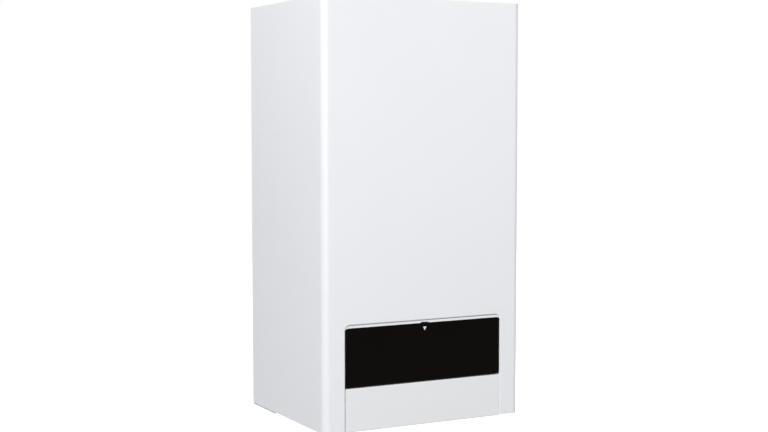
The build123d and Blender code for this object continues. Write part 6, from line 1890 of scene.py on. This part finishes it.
@dataclass
class Machinery:
    """Ribs, vents and screws of the motors and the gas valve."""

    fitter: Fitter
    pump: Reach = reach("pump_motor")
    pump_radius: float = 42.0
    fins: int = 18
    first_fin: float = 50.0
    fin_sweep: float = 260.0
    fin_size: Triple = (3.6, 2.0, 58.0)  # length, width and depth
    fin_sink: float = 0.8
    fin_setback: float = 13.0
    fan: Reach = reach("fan_motor")
    vents: int = 28
    vent_radius: float = 13.0
    vent_size: Triple = (15.0, 1.5, 1.2)  # length, width and depth
    valve: Reach = reach("gas_valve")
    valve_cover: float = -305.0
    screw_inset: float = 4.5
    screw_levels: Pair = (404.5, 457.5)
    screw_radius: float = 2.7
    screw_rise: float = 1.7

    def pump_fins(self) -> None:
        """Cooling fins round the pump's motor, left out under its terminal box."""
        paint = self.fitter.palette.material(PUMP_PAINT)
        length, width, depth = self.fin_size
        middle = self.pump.front + self.fin_setback + depth / 2
        at = place(self.pump.x, middle, self.pump.foot + self.pump_radius)
        sizes = metres(radius=self.pump_radius - self.fin_sink, length=length, width=width, depth=depth)
        fins = bar_fan().grow(paint, at, FACING_FRONT, count=self.fins, start=math.radians(self.first_fin),
                              sweep=math.radians(self.fin_sweep), growth=0.0, **sizes)
        self.fitter.fit(fins, "pump_fins", Body.CHASSIS, "pump_iron", PUMP_PAINT)

    def fan_vents(self) -> None:
        """Raised bars of the vent in the fan motor's cap."""
        black = self.fitter.palette.material(MOTOR_BLACK)
        length, width, depth = self.vent_size
        at = place(self.fan.x, self.fan.front, self.fan.top - (self.fan.right - self.fan.left) / 2)
        sizes = metres(radius=self.vent_radius, length=length, width=width, depth=depth)
        bars = bar_fan().grow(black, at, FACING_FRONT, count=self.vents, start=0.0,
                              sweep=math.tau * (self.vents - 1) / self.vents, growth=0.0, **sizes)
        self.fitter.fit(bars, "fan_motor_vent", Body.CHASSIS, "black_plastic", MOTOR_BLACK)

    def valve_screws(self) -> None:
        """Rounded screw heads at the corners of the gas valve's cover."""
        zinc = self.fitter.palette.material(ZINC_PLATE)
        left, right = self.valve.left + self.screw_inset, self.valve.right - self.screw_inset
        step = ((right - left) * MM, 0.0, 0.0)
        sizes = metres(radius=self.screw_radius, rise=self.screw_rise)
        rows = [dome_row().grow(zinc, place(left, self.valve_cover, level), FACING_FRONT, count=2, step=step,
                                **sizes)
                for level in self.screw_levels]
        mesh = fused("valve_screws", rows)
        self.fitter.fit(mesh, "gas_valve_screws", Body.CHASSIS, "zinc_screw", ZINC_PLATE)

    def build(self) -> None:
        """Make the machinery's small parts."""
        self.pump_fins()
        self.fan_vents()
        self.valve_screws()


# ---------------------------------------------------------------- light and camera
@dataclass(frozen=True)
class Lamp:
    """A soft square lamp, its place, aim and strength."""

    name: str
    at: Triple
    aim: Triple
    side: float
    power: float
    colour: Colour = WHITE

    def hang(self) -> bpy.types.Object:
        """Add the lamp to the scene.

        Returns:
            The lamp.
        """
        light = bpy.data.lights.new(self.name, "AREA")
        light.shape = "SQUARE"
        light.size = self.side
        light.energy = self.power
        light.color = self.colour
        lamp = bpy.data.objects.new(self.name, light)
        bpy.context.scene.collection.objects.link(lamp)
        lamp.location = self.at
        lamp.rotation_euler = (Vector(self.aim) - Vector(self.at)).to_track_quat("-Z", "Y").to_euler()
        return lamp


def seen_by_eye(tree: bpy.types.NodeTree) -> Socket:
    """Value of 1 for rays from the camera, straight, mirrored or through glass, and 0 for lighting.

    Args:
        tree: Node tree in which the value is made.

    Returns:
        The socket that gives the value.
    """
    path = tree.nodes.new("ShaderNodeLightPath")
    seen: Socket = path.outputs["Is Camera Ray"]
    for ray in ("Is Glossy Ray", "Is Transmission Ray"):
        either = tree.nodes.new("ShaderNodeMath")
        either.operation = "MAXIMUM"
        tree.links.new(seen, either.inputs[0])
        tree.links.new(path.outputs[ray], either.inputs[1])
        seen = either.outputs["Value"]
    return seen


@dataclass
class Studio:
    """White floor and surround, soft lamps and the camera."""

    floor_level: float = -1.25
    floor_side: float = 14.0
    floor_colour: Colour = (0.3, 0.3, 0.3)
    floor_roughness: float = 0.9
    floor_specular: float = 0.1
    floor_glow: float = 0.78
    floor_fade: Pair = (1.0, 2.0)
    room_light: float = 0.37
    camera_at: Triple = (-1.3559, -2.7519, -0.1534)
    camera_yaw: float = 27.84
    camera_pitch: float = -3.92
    focal_pixels: float = 1377.1
    lamps: tuple[Lamp, ...] = (
        Lamp("key_lamp", (-2.5, -3.5, 0.5), (0.0, -0.2, -0.25), 1.6, 92.0),
        Lamp("side_lamp", (-1.6, -0.6, 1.4), (0.0, -0.2, -0.25), 1.3, 18.0),
        Lamp("fill_lamp", (1.8, -2.4, 0.4), (0.0, -0.2, -0.25), 1.6, 18.0),
        Lamp("rear_lamp", (1.8, 2.8, 0.1), (0.0, -0.2, -0.35), 1.8, 36.0),
    )

    def lay_floor(self) -> None:
        """Lay a plain pale floor well below the boiler, white where it is seen unshaded."""
        half = self.floor_side / 2
        corners = [(-half, -half), (half, -half), (half, half), (-half, half)]
        mesh = bpy.data.meshes.new("floor")
        mesh.from_pydata([(x, y, self.floor_level) for x, y in corners], [], [(0, 1, 2, 3)])
        floor = bpy.data.objects.new("floor", mesh)
        bpy.context.scene.collection.objects.link(floor)
        sheet = ShaderSheet("floor_paint")
        sheet.constant("Base Color", colour4(self.floor_colour))
        sheet.constant("Roughness", self.floor_roughness)
        sheet.constant("Specular IOR Level", self.floor_specular)
        sheet.constant("Emission Color", colour4(WHITE))
        distance = sheet.node("ShaderNodeVectorMath")
        distance.operation = "LENGTH"
        sheet.join(sheet.position, distance.inputs[0])
        glow = sheet.ranged(distance.outputs["Value"], self.floor_glow, 1.0, *self.floor_fade)
        shown = sheet.node("ShaderNodeMath")
        shown.operation = "MULTIPLY"
        sheet.join(glow, shown.inputs[0])
        sheet.join(seen_by_eye(sheet.tree), shown.inputs[1])
        sheet.drive("Emission Strength", shown.outputs["Value"])
        mesh.materials.append(sheet.material)

    def light_room(self) -> None:
        """Light the room softly, and show it white where it is seen."""
        world = bpy.data.worlds.new("room")
        bpy.context.scene.world = world
        world.use_nodes = True
        tree = world.node_tree
        tree.nodes.clear()
        output = tree.nodes.new("ShaderNodeOutputWorld")
        shown = tree.nodes.new("ShaderNodeBackground")
        shown.inputs["Strength"].default_value = 1.0
        lit = tree.nodes.new("ShaderNodeBackground")
        lit.inputs["Strength"].default_value = self.room_light
        for background in (shown, lit):
            background.inputs["Color"].default_value = colour4(WHITE)
        mix = tree.nodes.new("ShaderNodeMixShader")
        tree.links.new(seen_by_eye(tree), mix.inputs["Fac"])
        for end, background in zip(mix.inputs[1:], (lit, shown)):
            tree.links.new(background.outputs["Background"], end)
        tree.links.new(mix.outputs["Shader"], output.inputs["Surface"])

    def set_camera(self) -> None:
        """Stand the camera where the photograph was taken from."""
        data = bpy.data.cameras.new("camera")
        data.sensor_width = SENSOR_WIDTH
        data.lens = self.focal_pixels * SENSOR_WIDTH / PHOTO_WIDTH
        camera = bpy.data.objects.new("camera", data)
        bpy.context.scene.collection.objects.link(camera)
        camera.location = self.camera_at
        pitch, yaw = math.radians(90 + self.camera_pitch), math.radians(-self.camera_yaw)
        camera.rotation_euler = Euler((pitch, 0.0, yaw))
        bpy.context.scene.camera = camera

    def build(self) -> None:
        """Set up the whole studio."""
        bpy.context.scene.view_settings.view_transform = "Standard"
        self.set_camera()
        self.lay_floor()
        self.light_room()
        for lamp in self.lamps:
            lamp.hang()
        log.info("studio with %d lamps", len(self.lamps))


def main() -> None:
    """Dress the boiler and set up its studio."""
    logging.basicConfig(level=logging.INFO, format="%(name)s: %(message)s")
    palette = Palette()
    fitter = Fitter(palette)
    Studio().build()
    palette.dress_nodes()
    PressureGauge(fitter).build()
    Dial(fitter, Body.HEATING_DIAL, for_water=False).build()
    Dial(fitter, Body.HOT_WATER_DIAL, for_water=True).build()
    Display(fitter).build()
    Keys(fitter).build()
    FlapSurround(fitter).build()
    Fastenings(fitter).build()
    TestPoints(fitter).build()
    Machinery(fitter).build()


if __name__ == "__main__":
    main()
